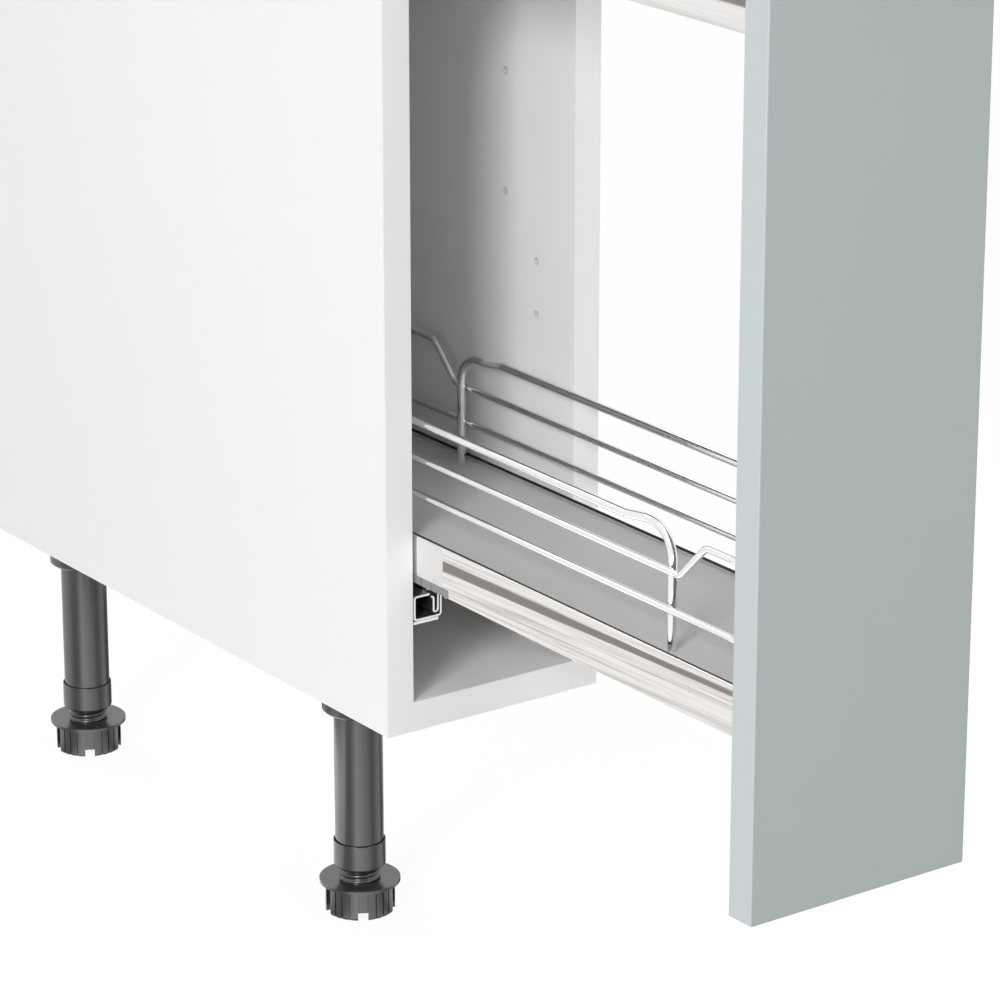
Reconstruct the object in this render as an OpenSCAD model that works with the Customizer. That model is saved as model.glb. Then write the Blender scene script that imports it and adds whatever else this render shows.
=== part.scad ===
// Narrow pull-out base cabinet: a board carcass on two screw feet, and a tall
// door that carries two chrome trays on telescopic runners. It is drawn with the
// door part of the way out. The origin lies on the floor, in the middle of the
// outline. +X is to the right seen from the door, +Y runs to the wall, +Z is up.
// Lengths are millimetres.

/* [Carcass] */
// Width over both side panels
carcass_w = 150; // [140:5:200]
// Height without the legs
carcass_h = 720; // [700:10:760]
// Depth without the door
carcass_d = 560; // [545:5:600]
// Thickness of the side panels, the bottom and the top rails
board_t = 18; // [17:0.5:19]
// Thickness of the back panel
back_t = 8; // [6:1:10]
// Free space left behind the back panel
back_inset = 30; // [20:5:35]
// Depth of the top rails from front to back
top_rail_d = 95; // [90:5:110]

/* [Legs] */
// Height of the carcass underside above the floor
leg_h = 177.5; // [165:0.5:190]
// Front leg's centre behind the carcass front
front_leg_y = 143; // [120:1:160]
// Rear leg's centre in front of the carcass rear edge
rear_leg_inset = 87.5; // [75:0.5:110]
// Diameter of the leg tubes
tube_d = 30.2; // [28:0.2:31]
// Wall of the leg tubes
tube_wall = 1.8; // [1.4:0.1:2]
// Diameter of the sockets that hold the tubes
socket_d = 44.4; // [42:0.2:50]
// Depth of the sockets
socket_h = 45; // [30:1:60]
// Diameter of the collars at the lower ends of the tubes
collar_d = 32.5; // [32.3:0.1:34]
// Height of the collars
collar_h = 18; // [12:1:24]
// Outer diameter of the foot screw's thread
thread_d = 26; // [23:0.2:26.2]
// Pitch of the foot screw's thread
thread_pitch = 4; // [3:0.5:5]
// Length of thread that shows between the collar and the foot
thread_gap = 7.9; // [7:0.1:14]
// Diameter of the disc on top of each foot
disc_d = 50.5; // [48:0.5:56]
// Thickness of that disc
disc_t = 2.1; // [1.5:0.1:3]
// Diameter of the ribbed skirt of each foot
skirt_d = 43.4; // [40:0.2:46]
// Height of the ribbed skirt
skirt_h = 18.6; // [14:0.2:24]

/* [Door] */
// Gap between each edge of the door and the side of the carcass
door_side_gap = 2; // [1:0.5:3]
// Gap between the door's lower edge and the carcass underside
door_bottom_gap = 2; // [1:0.5:4]
// Gap between the door's upper edge and the carcass top
door_top_gap = 3; // [2:0.5:6]
// Thickness of the door
door_t = 19; // [18:0.5:22]
// Gap between the shut door and the carcass front
door_gap = 2; // [1.5:0.1:3]

/* [Handle] */
// Distance between the two handle screws
handle_pitch = 128; // [96:16:160]
// Diameter of the handle bar
handle_bar_d = 12; // [10:1:14]
// Length of bar beyond each handle screw
handle_end = 20; // [14:1:30]
// Height of the bar's centre line above the door front
handle_reach = 28; // [26:1:36]
// Diameter of the two handle posts
handle_post_d = 9; // [8:0.5:10]
// Upper handle screw below the top edge of the door
handle_drop = 60; // [40:5:80]

/* [Trays] */
// Gap between a tray's skirt and the side panel
tray_side_gap = 1.5; // [1.4:0.1:2.5]
// Gap between the shut trays and the back panel
tray_rear_gap = 35.8; // [24:0.2:48]
// Height of the chrome skirt round a tray
skirt_side_h = 29.3; // [27:0.1:34]
// Sheet of the chrome skirt
sheet_t = 1; // [0.8:0.1:1.2]
// Width of the inward lip that carries the board
lip_w = 5; // [4:0.5:6]
// Outer corner radius of a tray
tray_r = 12; // [10:1:16]
// Thickness of a tray's board
tray_board_t = 8; // [6:0.5:9]
// Height of the skirt's rim above the board
rim_h = 3; // [2:0.5:5]
// Lower edge of the lower tray above the carcass underside
tray_z = 91; // [90:0.5:110]
// Height of the upper tray above the lower one
tray_pitch = 374.2; // [340:0.1:400]
// Gap between the door's back and the front end of a tray
tray_door_gap = 5.2; // [4:0.1:8]

/* [Galleries] */
// Diameter of the top rails and their posts
post_d = 5; // [4:0.5:6]
// Diameter of the two wires round a tray
wire_d = 4; // [3:0.5:5]
// Wires' centre line inside the tray's outer face
wire_inset = 5.5; // [5:0.5:7]
// Posts' distance from each end of the tray
post_end = 80.5; // [70:0.5:100]
// Lower wire's centre above the board
low_wire_z = 25.2; // [22:0.2:30]
// Middle wire's centre above the board
mid_wire_z = 46.8; // [44:0.2:54]
// Top rail's centre above the board
top_wire_z = 68.7; // [66:0.2:80]

/* [Runners] */
// Length that a runner stops short of each end of its tray
runner_end_gap = 11.5; // [9:0.5:16]
// Fixed profiles' front end behind the carcass front
runner_set_back = 2; // [1:0.5:4]
// Underside of the lower fixed profiles above the carcass underside
runner_z = 66.4; // [62:0.2:67]
// Width of a fixed profile
fixed_w = 19.8; // [19.6:0.2:21]
// Height of a fixed profile and of a tray profile
profile_h = 15.6; // [15.2:0.1:16.4]
// Sheet of the fixed profiles
fixed_t = 1.6; // [1.4:0.1:1.7]
// Width of a fixed profile's top flange
fixed_flange_w = 11.2; // [11:0.1:11.6]
// Sheet of the wall brackets
bracket_t = 1.8; // [1.6:0.1:2]
// Sheet of the middle profiles and of the tray profiles
slide_t = 1.4; // [1.2:0.1:1.5]
// Length of a tray profile that stays in its middle profile, as it is drawn here
runner_overlap = 150.8; // [146:0.1:200]
// Distance that the middle profiles can still come out
stage_travel = 147; // [100:1:150]
// Length of a roller cage
cage_l = 140; // [120:1:145]

/* [Hidden] */

// Facets of round shapes
$fn = 48;
// Sides of a bent rod and rings in each of its bends
rod_sides = 10;
bend_rings = 5;
// Overrun that carries a cut clear of a face
over = 1;
// Small clearance between a screw, a pin or a board and its seat
fit = 0.1;

LOWER = 0;
UPPER = 1;
LEFT = -1;
RIGHT = 1;
LEVELS = [LOWER, UPPER];
SIDES = [LEFT, RIGHT];

// Carcass joinery: dowels and cam fittings, set by places from the front edge
inner_w = carcass_w - 2 * board_t;
inner_half = inner_w / 2;
back_y = carcass_d - back_inset - back_t;
back_groove = 8;
dowel_d = 8;
dowel_in_side = 12;
dowel_in_end = 18;
cam_d = 15;
cam_depth = 12.5;
cam_reach = 24;
cam_bolt_d = 5;
cam_bolt_in_side = 11;
cam_bolt_bore_d = 8;
cam_head_d = 7;
cam_head_l = 3.5;
cam_slot_w = 2;
cam_slot_depth = 1.5;
cam_from_edge = 32;
dowel_from_edge = 64;

// Rows of holes in the side panels
hole_d = 5;
hole_depth = 13;
front_row_y = 37;
second_row_y = 68;
front_row_zs = [222.5, 254.5];
second_row_zs = [290.3, 362.3];

// Legs
leg_xs_y = [front_leg_y, carcass_d - rear_leg_inset];
flange_w = 64;
flange_t = 3;
flange_r = 8;
flange_screw_inset = 6;
socket_screw_d = 4;
socket_screw_l = 14;
socket_screw_head_d = 8;
socket_screw_head_h = 2.2;
socket_rim_chamfer = 1.5;
collar_floor = 3;
collar_chamfer = 2;
collar_flare = 0.45;
collar_flare_h = 6;
collar_z = skirt_h + disc_t + thread_gap;
tube_bottom_z = collar_z + collar_floor;
tube_bore_d = tube_d - 2 * tube_wall;
spindle_play = 0.15;
spindle_l = 62;
thread_depth = 1.3;
crest_share = 0.3;
thread_turns = floor(spindle_l / thread_pitch) - 1;
skirt_wall = 4.2;
foot_recesses = 5;
foot_turn = -29;
ribs_between = 4;
recess_w = 6.4;
recess_depth = 2;
notch_h = 4;
groove_w = 0.9;
groove_depth = 0.8;

// Door and what is on it
door_w = carcass_w - 2 * door_side_gap;
door_h = carcass_h - door_bottom_gap - door_top_gap;
bumper_d = 8;
bumper_h = 1.8;
bumper_from_end = 40;
handle_screw_d = 4;
handle_screw_depth = 12;
handle_screw_head_d = 8;
handle_screw_head_h = 2.4;
door_plate_w = 40;
door_plate_t = 2;
door_plate_drop = 48;
door_tongue_l = 58;
plate_screw_d = 4;
plate_screw_l = 13;
plate_screw_head_d = 8;
plate_screw_head_h = 2;
plate_screw_side = 12;
plate_screw_drops = [14, 38];
tongue_screw_l = 6;
tongue_screw_ys = [26, 48];
bracket_slot_gap = 1;
notch_play = 1;

// Trays
tray_w = inner_w - 2 * tray_side_gap;
tray_l = back_y - tray_rear_gap - tray_door_gap + door_gap;
board_z = skirt_side_h - rim_h - tray_board_t;
board_top = board_z + tray_board_t;
board_play = 0.2;
post_x = tray_w / 2 - wire_inset - (wire_d + post_d) / 2;
wire_x = tray_w / 2 - wire_inset;
wire_corner_r = 20;
post_bend_r = 18;
rod_jog_r = 8;
rod_jog_start = 23;
rod_jog_l = 12;
wire_rise_start = 12;
wire_bend_r = 8;

// Runners. Inside a runner x is the distance from the side panel's inner face.
runner_l = tray_l - 2 * runner_end_gap;
open_d = runner_l - runner_overlap;
fixed_x = bracket_t;
run_play = 0.4;
neck_right = fixed_x + fixed_w - fixed_t - run_play;
neck_left = neck_right - slide_t;
hook_w = 4.4;
hook_lift = 1;
hook_curl = 1.3;
hook_left = neck_right - hook_w;
hook_z = fixed_t + hook_lift;
hook_top = profile_h - fixed_t - run_play;
bare_end = 14;
flange_start = 30;
neck_play = 1;
tray_profile_right = neck_right + neck_play + slide_t;
tray_profile_w = 13.4;
tray_profile_left = tray_profile_right - tray_profile_w;
tray_profile_z = tray_z + board_z - profile_h;
tray_profile_lift = tray_profile_z - runner_z;
inner_flange_z = tray_profile_lift + profile_h / 2;
cage_t = 1;
cage_play = 0.4;
cage_gap = 0.6;
roller_w = 4.4;
roller_play = 0.15;
axle_d = 2;
axle_play = 0.2;
rollers_per_row = 4;
runner_screw_d = 5;
runner_screw_depth = 11;
runner_screw_head_d = 9;
runner_screw_head_h = 1.6;
runner_screw_end = 33;
runner_screws_per_runner = 3;
outer_cage_x = fixed_x + fixed_t + runner_screw_head_h + cage_play;
outer_flange_x = outer_cage_x + cage_t + cage_gap;
inner_cage_x = tray_profile_left + slide_t + cage_play;
inner_flange_x = inner_cage_x + cage_t + cage_gap;
outer_cage_lead = 20;
outer_cage_y = runner_set_back + stage_travel / 2 + outer_cage_lead;
bracket_w = 19;
bracket_lead = 10;
ear_w = 12;
ear_l = 22;
ears_per_profile = 3;
ear_end = 40;
ear_screw_d = 4;
ear_screw_l = 6;
ear_screw_head_d = 8;
ear_screw_head_h = 2;
catch_play = 0.3;
catch_x = tray_side_gap + catch_play;
catch_w = tray_profile_left - catch_play - catch_x;
catch_h = 4.9;
catch_l = 68;
catch_from_rear = 142;
catch_y = tray_l - catch_from_rear - catch_l;
catch_finger_l = 4;
catch_finger_t = 1;
catch_seam_w = 0.6;
catch_seam_depth = 0.6;
catch_seam_places = [17, 27];
catch_nub_d = 2.4;
catch_nub_h = 0.9;
catch_nub_places = [4, 22];

// Where the fixed part and the drawn-out part stand
drawn_front = door_gap + open_d + door_t + handle_reach + handle_bar_d / 2;
carcass_y = drawn_front - (drawn_front + carcass_d) / 2;
door_back_y = carcass_y - door_gap - open_d;
// Roller cages between the middle and the tray profiles: centred on their overlap
tray_profile_rear = tray_door_gap + tray_l - runner_end_gap - door_gap - open_d;
inner_cage_y = (runner_set_back + tray_profile_rear - cage_l) / 2;

function level_z(level) = level * tray_pitch;

module in_carcass() {
    translate([0, carcass_y, leg_h]) children();
}

module on_door() {
    translate([0, door_back_y, leg_h]) children();
}

module in_tray(level) {
    on_door() translate([0, tray_door_gap, tray_z + level_z(level)]) children();
}

// Turns x into the distance from the inner face of the left or right side panel
module from_side(side) {
    mirror([side == RIGHT ? 1 : 0, 0, 0]) translate([-inner_half, 0, 0]) children();
}

module in_runner(level, side) {
    in_carcass() translate([0, runner_set_back, runner_z + level_z(level)])
        from_side(side) children();
}

// Draws a section in x and z along y, starting at y = 0
module along_y(l) {
    translate([0, l, 0]) rotate([90, 0, 0]) linear_extrude(height = l) children();
}

// A bore along -x that starts a little in front of x = 0
module side_bore(d, depth) {
    translate([over, 0, 0]) rotate([0, -90, 0]) cylinder(d = d, h = depth + over);
}

// A cross-head screw whose head rests on z = 0 and whose shank points up
module screw(d, l, head_d, head_h) {
    recess_w_share = 0.12;
    recess_l_share = 0.55;
    recess_depth_share = 0.6;
    difference() {
        union() {
            cylinder(d = d, h = l);
            translate([0, 0, -head_h]) cylinder(d = head_d, h = head_h);
        }
        for (turn = [0, 90]) {
            rotate([0, 0, turn])
                translate([-head_d * recess_l_share / 2, -head_d * recess_w_share / 2, -head_h - over])
                    cube([
                        head_d * recess_l_share,
                        head_d * recess_w_share,
                        head_h * recess_depth_share + over
                    ]);
        }
    }
}

// A plate outline w wide and l long with round corners, from y = 0
module rounded_plate(w, l, r) {
    translate([-w / 2, r]) square([w, l - 2 * r]);
    translate([-w / 2 + r, 0]) square([w - 2 * r, l]);
    for (x = [-1, 1], y = [r, l - r]) translate([x * (w / 2 - r), y]) circle(r = r);
}

// Bent rods: a path of corners is rounded, and a ring is swept along it
function unit(v) = v / norm(v);

function corner_cut(before, at, after, r) =
    r * tan(acos(unit(at - before) * unit(after - at)) / 2);

function corner_arc(before, at, after, r) =
    let (
        a = unit(at - before),
        b = unit(after - at),
        turn = acos(a * b),
        inward = unit(b - a * (a * b)),
        centre = at - a * corner_cut(before, at, after, r) + inward * r
    )
    [for (i = [0:bend_rings])
        centre + r * (a * sin(turn * i / bend_rings) - inward * cos(turn * i / bend_rings))];

function rounded_path(p, r, closed) =
    let (n = len(p))
    [for (i = [0:n - 1])
        each !closed && (i == 0 || i == n - 1)
            ? [p[i]]
            : corner_arc(p[(i + n - 1) % n], p[i], p[(i + 1) % n], r[i])];

function path_ring(at, along, across, d) =
    let (u = unit(across - along * (across * along)), v = cross(along, u))
    [for (i = [0:rod_sides - 1])
        at + d / 2 * (u * cos(360 * i / rod_sides) + v * sin(360 * i / rod_sides))];

// across is any direction that the path never runs along
module bent_rod(corners, radii, d, across, closed = false) {
    path = rounded_path(corners, radii, closed);
    n = len(path);
    links = closed ? n : n - 1;
    rings = [for (i = [0:n - 1])
        let (
            last = closed ? path[(i + n - 1) % n] : path[max(i - 1, 0)],
            next = closed ? path[(i + 1) % n] : path[min(i + 1, n - 1)]
        )
        each path_ring(path[i], unit(next - last), across, d)];
    walls = [for (i = [0:links - 1], j = [0:rod_sides - 1])
        let (
            a = i * rod_sides + j,
            b = i * rod_sides + (j + 1) % rod_sides,
            c = ((i + 1) % n) * rod_sides + (j + 1) % rod_sides,
            e = ((i + 1) % n) * rod_sides + j
        )
        each [[a, c, b], [a, e, c]]];
    caps = closed ? [] : [
        [for (j = [0:rod_sides - 1]) j],
        [for (j = [rod_sides - 1:-1:0]) (n - 1) * rod_sides + j]
    ];
    polyhedron(points = rings, faces = concat(walls, caps));
}

// Places of the joinery in y and z, measured from the carcass front and underside
bottom_z = 0;
top_z = carcass_h - board_t;
rear_rail_y = back_y - top_rail_d;
dowel_places = [
    [dowel_from_edge, bottom_z], [back_y - dowel_from_edge, bottom_z],
    [dowel_from_edge, top_z], [back_y - dowel_from_edge, top_z]
];
cam_places = [
    [cam_from_edge, bottom_z], [back_y - cam_from_edge, bottom_z],
    [cam_from_edge, top_z], [back_y - cam_from_edge, top_z]
];
runner_screw_ys = [for (i = [0:runner_screws_per_runner - 1])
    runner_screw_end
        + i * (runner_l - 2 * runner_screw_end) / (runner_screws_per_runner - 1)];

module side_panel(side) {
    color("whitesmoke") in_carcass() from_side(side) difference() {
        translate([-board_t, 0, 0]) cube([board_t, carcass_d, carcass_h]);
        translate([-back_groove, back_y - fit, -over])
            cube([back_groove + over, back_t + 2 * fit, carcass_h + 2 * over]);
        for (p = dowel_places)
            translate([0, p[0], p[1] + board_t / 2]) side_bore(dowel_d, dowel_in_side);
        for (p = cam_places)
            translate([0, p[0], p[1] + board_t / 2]) side_bore(cam_bolt_d, cam_bolt_in_side);
        for (z = front_row_zs) translate([0, front_row_y, z]) side_bore(hole_d, hole_depth);
        for (z = second_row_zs) translate([0, second_row_y, z]) side_bore(hole_d, hole_depth);
        for (level = LEVELS, y = runner_screw_ys)
            translate([0, runner_set_back + y, runner_z + level_z(level) + profile_h / 2])
                side_bore(runner_screw_d, runner_screw_depth);
    }
}

// A board between the side panels, bored at both ends for dowels and cam fittings
module cross_board(y, d, z) {
    difference() {
        translate([-inner_half, y, z]) cube([inner_w, d, board_t]);
        for (side = SIDES) from_side(side) {
            for (p = dowel_places)
                if (p[1] == z && p[0] > y && p[0] < y + d)
                    translate([dowel_in_end, p[0], z + board_t / 2])
                        side_bore(dowel_d, dowel_in_end + over);
            for (p = cam_places)
                if (p[1] == z && p[0] > y && p[0] < y + d) {
                    translate([cam_reach, p[0], z + board_t / 2])
                        side_bore(cam_bolt_bore_d, cam_reach + over);
                    translate([cam_reach, p[0], z - over])
                        cylinder(d = cam_d, h = cam_depth + over);
                }
        }
    }
}

module bottom_panel() {
    color("whitesmoke") in_carcass() difference() {
        cross_board(0, back_y, bottom_z);
        for (y = leg_xs_y) translate([0, y, 0]) flange_screw_places()
            translate([0, 0, -over]) cylinder(d = socket_screw_d, h = socket_screw_l - flange_t + over);
    }
}

module back_panel() {
    w = inner_w + 2 * back_groove - 2 * fit;
    color("white") in_carcass() translate([-w / 2, back_y, 0]) cube([w, back_t, carcass_h]);
}

module top_rail_front() {
    color("whitesmoke") in_carcass() cross_board(0, top_rail_d, top_z);
}

module top_rail_rear() {
    color("whitesmoke") in_carcass() cross_board(rear_rail_y, top_rail_d, top_z);
}

module wood_dowels() {
    color("burlywood") in_carcass() for (side = SIDES, p = dowel_places)
        from_side(side) translate([dowel_in_end - fit, p[0], p[1] + board_t / 2])
            rotate([0, -90, 0])
                cylinder(d = dowel_d - 2 * fit, h = dowel_in_end + dowel_in_side - 2 * fit);
}

module cam_bolts() {
    color("silver") in_carcass() for (side = SIDES, p = cam_places)
        from_side(side) translate([cam_reach, p[0], p[1] + board_t / 2]) rotate([0, -90, 0]) {
            translate([0, 0, -cam_head_l / 2]) cylinder(d = cam_head_d, h = cam_head_l);
            cylinder(d = cam_bolt_d - 2 * fit, h = cam_reach + cam_bolt_in_side - fit);
        }
}

module cam_discs() {
    color("silver") in_carcass() for (side = SIDES, p = cam_places)
        from_side(side) translate([cam_reach, p[0], p[1]]) difference() {
            cylinder(d = cam_d - 2 * fit, h = cam_depth - fit);
            translate([cam_head_l, 0, board_t / 2]) rotate([0, -90, 0])
                cylinder(d = cam_head_d + 2 * fit, h = cam_d + over);
            for (turn = [0, 90]) rotate([0, 0, turn])
                translate([-cam_head_d / 2, -cam_slot_w / 2, -over])
                    cube([cam_head_d, cam_slot_w, cam_slot_depth + over]);
        }
}

// Legs
module at_leg(i) {
    translate([0, carcass_y + leg_xs_y[i], 0]) children();
}

module flange_screw_places() {
    reach = flange_w / 2 - flange_screw_inset;
    for (x = [-reach, reach], y = [-reach, reach]) translate([x, y, 0]) children();
}

module leg_socket(i) {
    color("dimgray") at_leg(i) translate([0, 0, leg_h]) difference() {
        union() {
            translate([0, -flange_w / 2, -flange_t]) linear_extrude(height = flange_t)
                rounded_plate(flange_w, flange_w, flange_r);
            rotate_extrude() polygon([
                [0, -flange_t / 2],
                [0, -socket_h],
                [socket_d / 2 - socket_rim_chamfer, -socket_h],
                [socket_d / 2, -socket_h + socket_rim_chamfer],
                [socket_d / 2, -flange_t / 2]
            ]);
        }
        translate([0, 0, -socket_h - over])
            cylinder(d = tube_d + 2 * fit, h = socket_h - flange_t + over);
        flange_screw_places() translate([0, 0, -flange_t - over])
            cylinder(d = socket_screw_d + 2 * fit, h = flange_t + 2 * over);
    }
}

module leg_socket_screws() {
    color("silver") for (i = [0, 1]) at_leg(i) translate([0, 0, leg_h - flange_t])
        flange_screw_places()
            screw(socket_screw_d - 2 * fit, socket_screw_l - fit, socket_screw_head_d, socket_screw_head_h);
}

module leg_tube(i) {
    h = leg_h - flange_t - tube_bottom_z;
    color("dimgray") at_leg(i) translate([0, 0, tube_bottom_z]) difference() {
        cylinder(d = tube_d, h = h);
        translate([0, 0, -over]) cylinder(d = tube_bore_d, h = h + 2 * over);
    }
}

module leg_collar(i) {
    bore_r = tube_bore_d / 2;
    seat_r = tube_d / 2 + fit / 2;
    color("dimgray") at_leg(i) translate([0, 0, collar_z]) rotate_extrude() polygon([
        [bore_r, 0],
        [collar_d / 2 - collar_chamfer, 0],
        [collar_d / 2, collar_chamfer],
        [collar_d / 2, collar_h],
        [seat_r + collar_flare, collar_h],
        [seat_r + collar_flare, collar_h - collar_flare_h],
        [seat_r, collar_h - collar_flare_h - collar_flare],
        [seat_r, collar_floor],
        [bore_r, collar_floor]
    ]);
}

// Half outline of the foot screw: thread crests as rings over a plain core
module foot_outline() {
    crest_r = min(thread_d / 2, tube_bore_d / 2 - spindle_play);
    root_r = crest_r - thread_depth;
    crest = thread_pitch * crest_share;
    slope = (thread_pitch - 2 * crest) / 2;
    base = skirt_h + disc_t;
    thread = [for (i = [0:thread_turns - 1])
        let (z = base + i * thread_pitch)
        each [
            [root_r, z], [root_r, z + crest],
            [crest_r, z + crest + slope], [crest_r, z + 2 * crest + slope]
        ]];
    polygon(concat(
        [[0, skirt_h - disc_t], [skirt_d / 2 - skirt_wall, skirt_h - disc_t],
            [skirt_d / 2 - skirt_wall, 0], [skirt_d / 2, 0], [skirt_d / 2, skirt_h],
            [disc_d / 2, skirt_h], [disc_d / 2, base]],
        thread,
        [[root_r, base + thread_turns * thread_pitch], [0, base + thread_turns * thread_pitch]]
    ));
}

module foot(i) {
    period = 360 / foot_recesses;
    recess_half = asin(recess_w / skirt_d);
    rib = (period - 2 * recess_half) / ribs_between;
    color("dimgray") at_leg(i) rotate([0, 0, foot_turn]) difference() {
        rotate_extrude() foot_outline();
        for (k = [0:foot_recesses - 1]) rotate([0, 0, k * period - 90]) {
            translate([skirt_d / 2 - recess_depth, -recess_w / 2, -over])
                cube([recess_depth + over, recess_w, skirt_h + over]);
            translate([skirt_d / 2 - skirt_wall - over, -recess_w / 2, -over])
                cube([skirt_wall + 2 * over, recess_w, notch_h + over]);
            for (m = [1:ribs_between - 1]) rotate([0, 0, recess_half + m * rib])
                translate([skirt_d / 2 - groove_depth, -groove_w / 2, -over])
                    cube([groove_depth + over, groove_w, skirt_h + over]);
        }
    }
}

// Runners
module fixed_profile(level, side) {
    color("gainsboro") in_runner(level, side) translate([fixed_x, 0, 0]) difference() {
        along_y(runner_l) difference() {
            square([fixed_w, profile_h]);
            translate([fixed_t, fixed_t])
                square([fixed_w - 2 * fixed_t, profile_h - 2 * fixed_t]);
            translate([fixed_flange_w, profile_h / 2])
                square([fixed_w - fixed_t - fixed_flange_w, profile_h]);
        }
        for (y = runner_screw_ys)
            translate([fixed_t, y, profile_h / 2]) side_bore(runner_screw_d + 2 * fit, fixed_t + over);
    }
}

module runner_brackets() {
    color("gainsboro") for (level = LEVELS, side = SIDES) in_runner(level, side) difference() {
        union() {
            translate([bracket_t, 0, -bracket_t])
                cube([bracket_w - bracket_t, runner_l, bracket_t]);
            translate([0, bracket_lead, -bracket_t])
                cube([bracket_t, runner_l - 2 * bracket_lead, profile_h + bracket_t]);
        }
        for (y = runner_screw_ys)
            translate([bracket_t, y, profile_h / 2]) side_bore(runner_screw_d + 2 * fit, bracket_t + over);
    }
}

module runner_screws() {
    color("silver") for (level = LEVELS, side = SIDES, y = runner_screw_ys)
        in_runner(level, side) translate([bracket_t + fixed_t, y, profile_h / 2])
            rotate([0, -90, 0])
                screw(
                    runner_screw_d - 2 * fit,
                    runner_screw_depth + bracket_t + fixed_t - fit,
                    runner_screw_head_d,
                    runner_screw_head_h
                );
}

// The hook that runs inside the fixed profile, in x and z
module hook_section() {
    round_r = hook_w / 2;
    mid_z = hook_z + round_r;
    difference() {
        union() {
            translate([hook_left + round_r, mid_z]) circle(r = round_r);
            translate([hook_left, mid_z]) square([hook_w, hook_top - mid_z]);
            translate([hook_left - hook_curl, hook_top - slide_t]) square([hook_curl + slide_t, slide_t]);
        }
        translate([hook_left + round_r, mid_z]) circle(r = round_r - slide_t);
        translate([hook_left + slide_t, mid_z]) square([hook_w - 2 * slide_t, profile_h]);
    }
}

module middle_profile(level, side) {
    color("silver") in_runner(level, side) {
        along_y(runner_l) hook_section();
        translate([0, bare_end, 0]) along_y(runner_l - bare_end) {
            translate([neck_left, hook_top - slide_t])
                square([slide_t, inner_flange_z + slide_t / 2 - hook_top + slide_t]);
            translate([inner_flange_x, inner_flange_z - slide_t / 2])
                square([neck_right - inner_flange_x, slide_t]);
        }
        translate([0, flange_start, 0]) along_y(runner_l - flange_start)
            translate([outer_flange_x, (profile_h - slide_t) / 2])
                square([hook_left + slide_t / 2 - outer_flange_x, slide_t]);
    }
}

// The rollers above and below a flange whose middle lies at z, from x outwards
roller_space = profile_h / 2 - fixed_t - slide_t / 2;
roller_d = roller_space - 2 * roller_play;
roller_axis = (roller_space + slide_t) / 2;
row_pitch = cage_l / rollers_per_row;
axle_l = roller_w + 2 * cage_gap;

module roller_rows() {
    for (row = [-1, 1], i = [0:rollers_per_row - 1])
        translate([0, (i + 0.5) * row_pitch, row * roller_axis]) rotate([0, 90, 0]) children();
}

module roller_cage() {
    web_h = 2 * roller_axis + axle_d;
    translate([0, 0, -web_h / 2]) cube([cage_t, cage_l, web_h]);
    roller_rows() translate([0, 0, cage_t / 2]) cylinder(d = axle_d, h = cage_t / 2 + axle_l);
}

module rollers() {
    roller_rows() translate([0, 0, cage_t + cage_gap]) difference() {
        cylinder(d = roller_d, h = roller_w);
        translate([0, 0, -over]) cylinder(d = axle_d + 2 * axle_play, h = roller_w + 2 * over);
    }
}

module outer_cage_places() {
    for (level = LEVELS, side = SIDES) in_runner(level, side)
        translate([outer_cage_x, outer_cage_y, profile_h / 2]) children();
}

module inner_cage_places() {
    for (level = LEVELS, side = SIDES) in_runner(level, side)
        translate([inner_cage_x, inner_cage_y, inner_flange_z]) children();
}

module outer_cages() {
    color("white") outer_cage_places() roller_cage();
}

module outer_rollers() {
    color("gray") outer_cage_places() rollers();
}

module inner_cages() {
    color("white") inner_cage_places() roller_cage();
}

module inner_rollers() {
    color("gray") inner_cage_places() rollers();
}

ear_ys = [for (i = [0:ears_per_profile - 1])
    ear_end + i * (runner_l - 2 * ear_end) / (ears_per_profile - 1)];

module tray_profile(level, side) {
    color("gainsboro") in_tray(level) translate([0, runner_end_gap, board_z - profile_h])
        from_side(side) difference() {
            union() {
                translate([tray_profile_left, 0, 0]) along_y(runner_l) difference() {
                    square([tray_profile_w, profile_h]);
                    translate([slide_t, slide_t])
                        square([tray_profile_w - 2 * slide_t, profile_h - 2 * slide_t]);
                    translate([neck_left - neck_play - tray_profile_left, -profile_h / 2])
                        square([slide_t + 2 * neck_play, profile_h]);
                }
                for (y = ear_ys)
                    translate([tray_profile_right - slide_t / 2, y - ear_l / 2, profile_h - slide_t])
                        cube([ear_w + slide_t / 2, ear_l, slide_t]);
            }
            for (y = ear_ys)
                translate([tray_profile_right + ear_w / 2, y, profile_h - slide_t - over])
                    cylinder(d = ear_screw_d + 2 * fit, h = slide_t + 2 * over);
        }
}

module tray_profile_screws() {
    color("silver") for (level = LEVELS, side = SIDES, y = ear_ys) in_tray(level)
        translate([0, runner_end_gap + y, board_z - slide_t]) from_side(side)
            translate([tray_profile_right + ear_w / 2, 0, 0])
                screw(
                    ear_screw_d - 2 * fit,
                    ear_screw_l + slide_t - fit,
                    ear_screw_head_d,
                    ear_screw_head_h
                );
}

// Release catches beside the tray profiles, each with a finger under its profile
module tray_catches() {
    finger_z = board_z - profile_h - catch_play - catch_finger_t;
    color("darkgray") for (level = LEVELS, side = SIDES) in_tray(level)
        translate([0, catch_y, 0]) from_side(side) {
            difference() {
                translate([catch_x, 0, 0]) cube([catch_w, catch_l, catch_h]);
                for (y = catch_seam_places)
                    translate([catch_x - over, y, -over])
                        cube([catch_seam_depth + over, catch_seam_w, catch_h + 2 * over]);
            }
            translate([catch_x + catch_w / 2, 0, finger_z])
                cube([catch_w / 2 + catch_play + catch_finger_l, catch_l, catch_finger_t]);
            for (y = catch_nub_places)
                translate([catch_x + catch_nub_d / 2, y, -catch_nub_h])
                    cylinder(d = catch_nub_d, h = catch_nub_h + catch_h / 2);
        }
}

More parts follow.
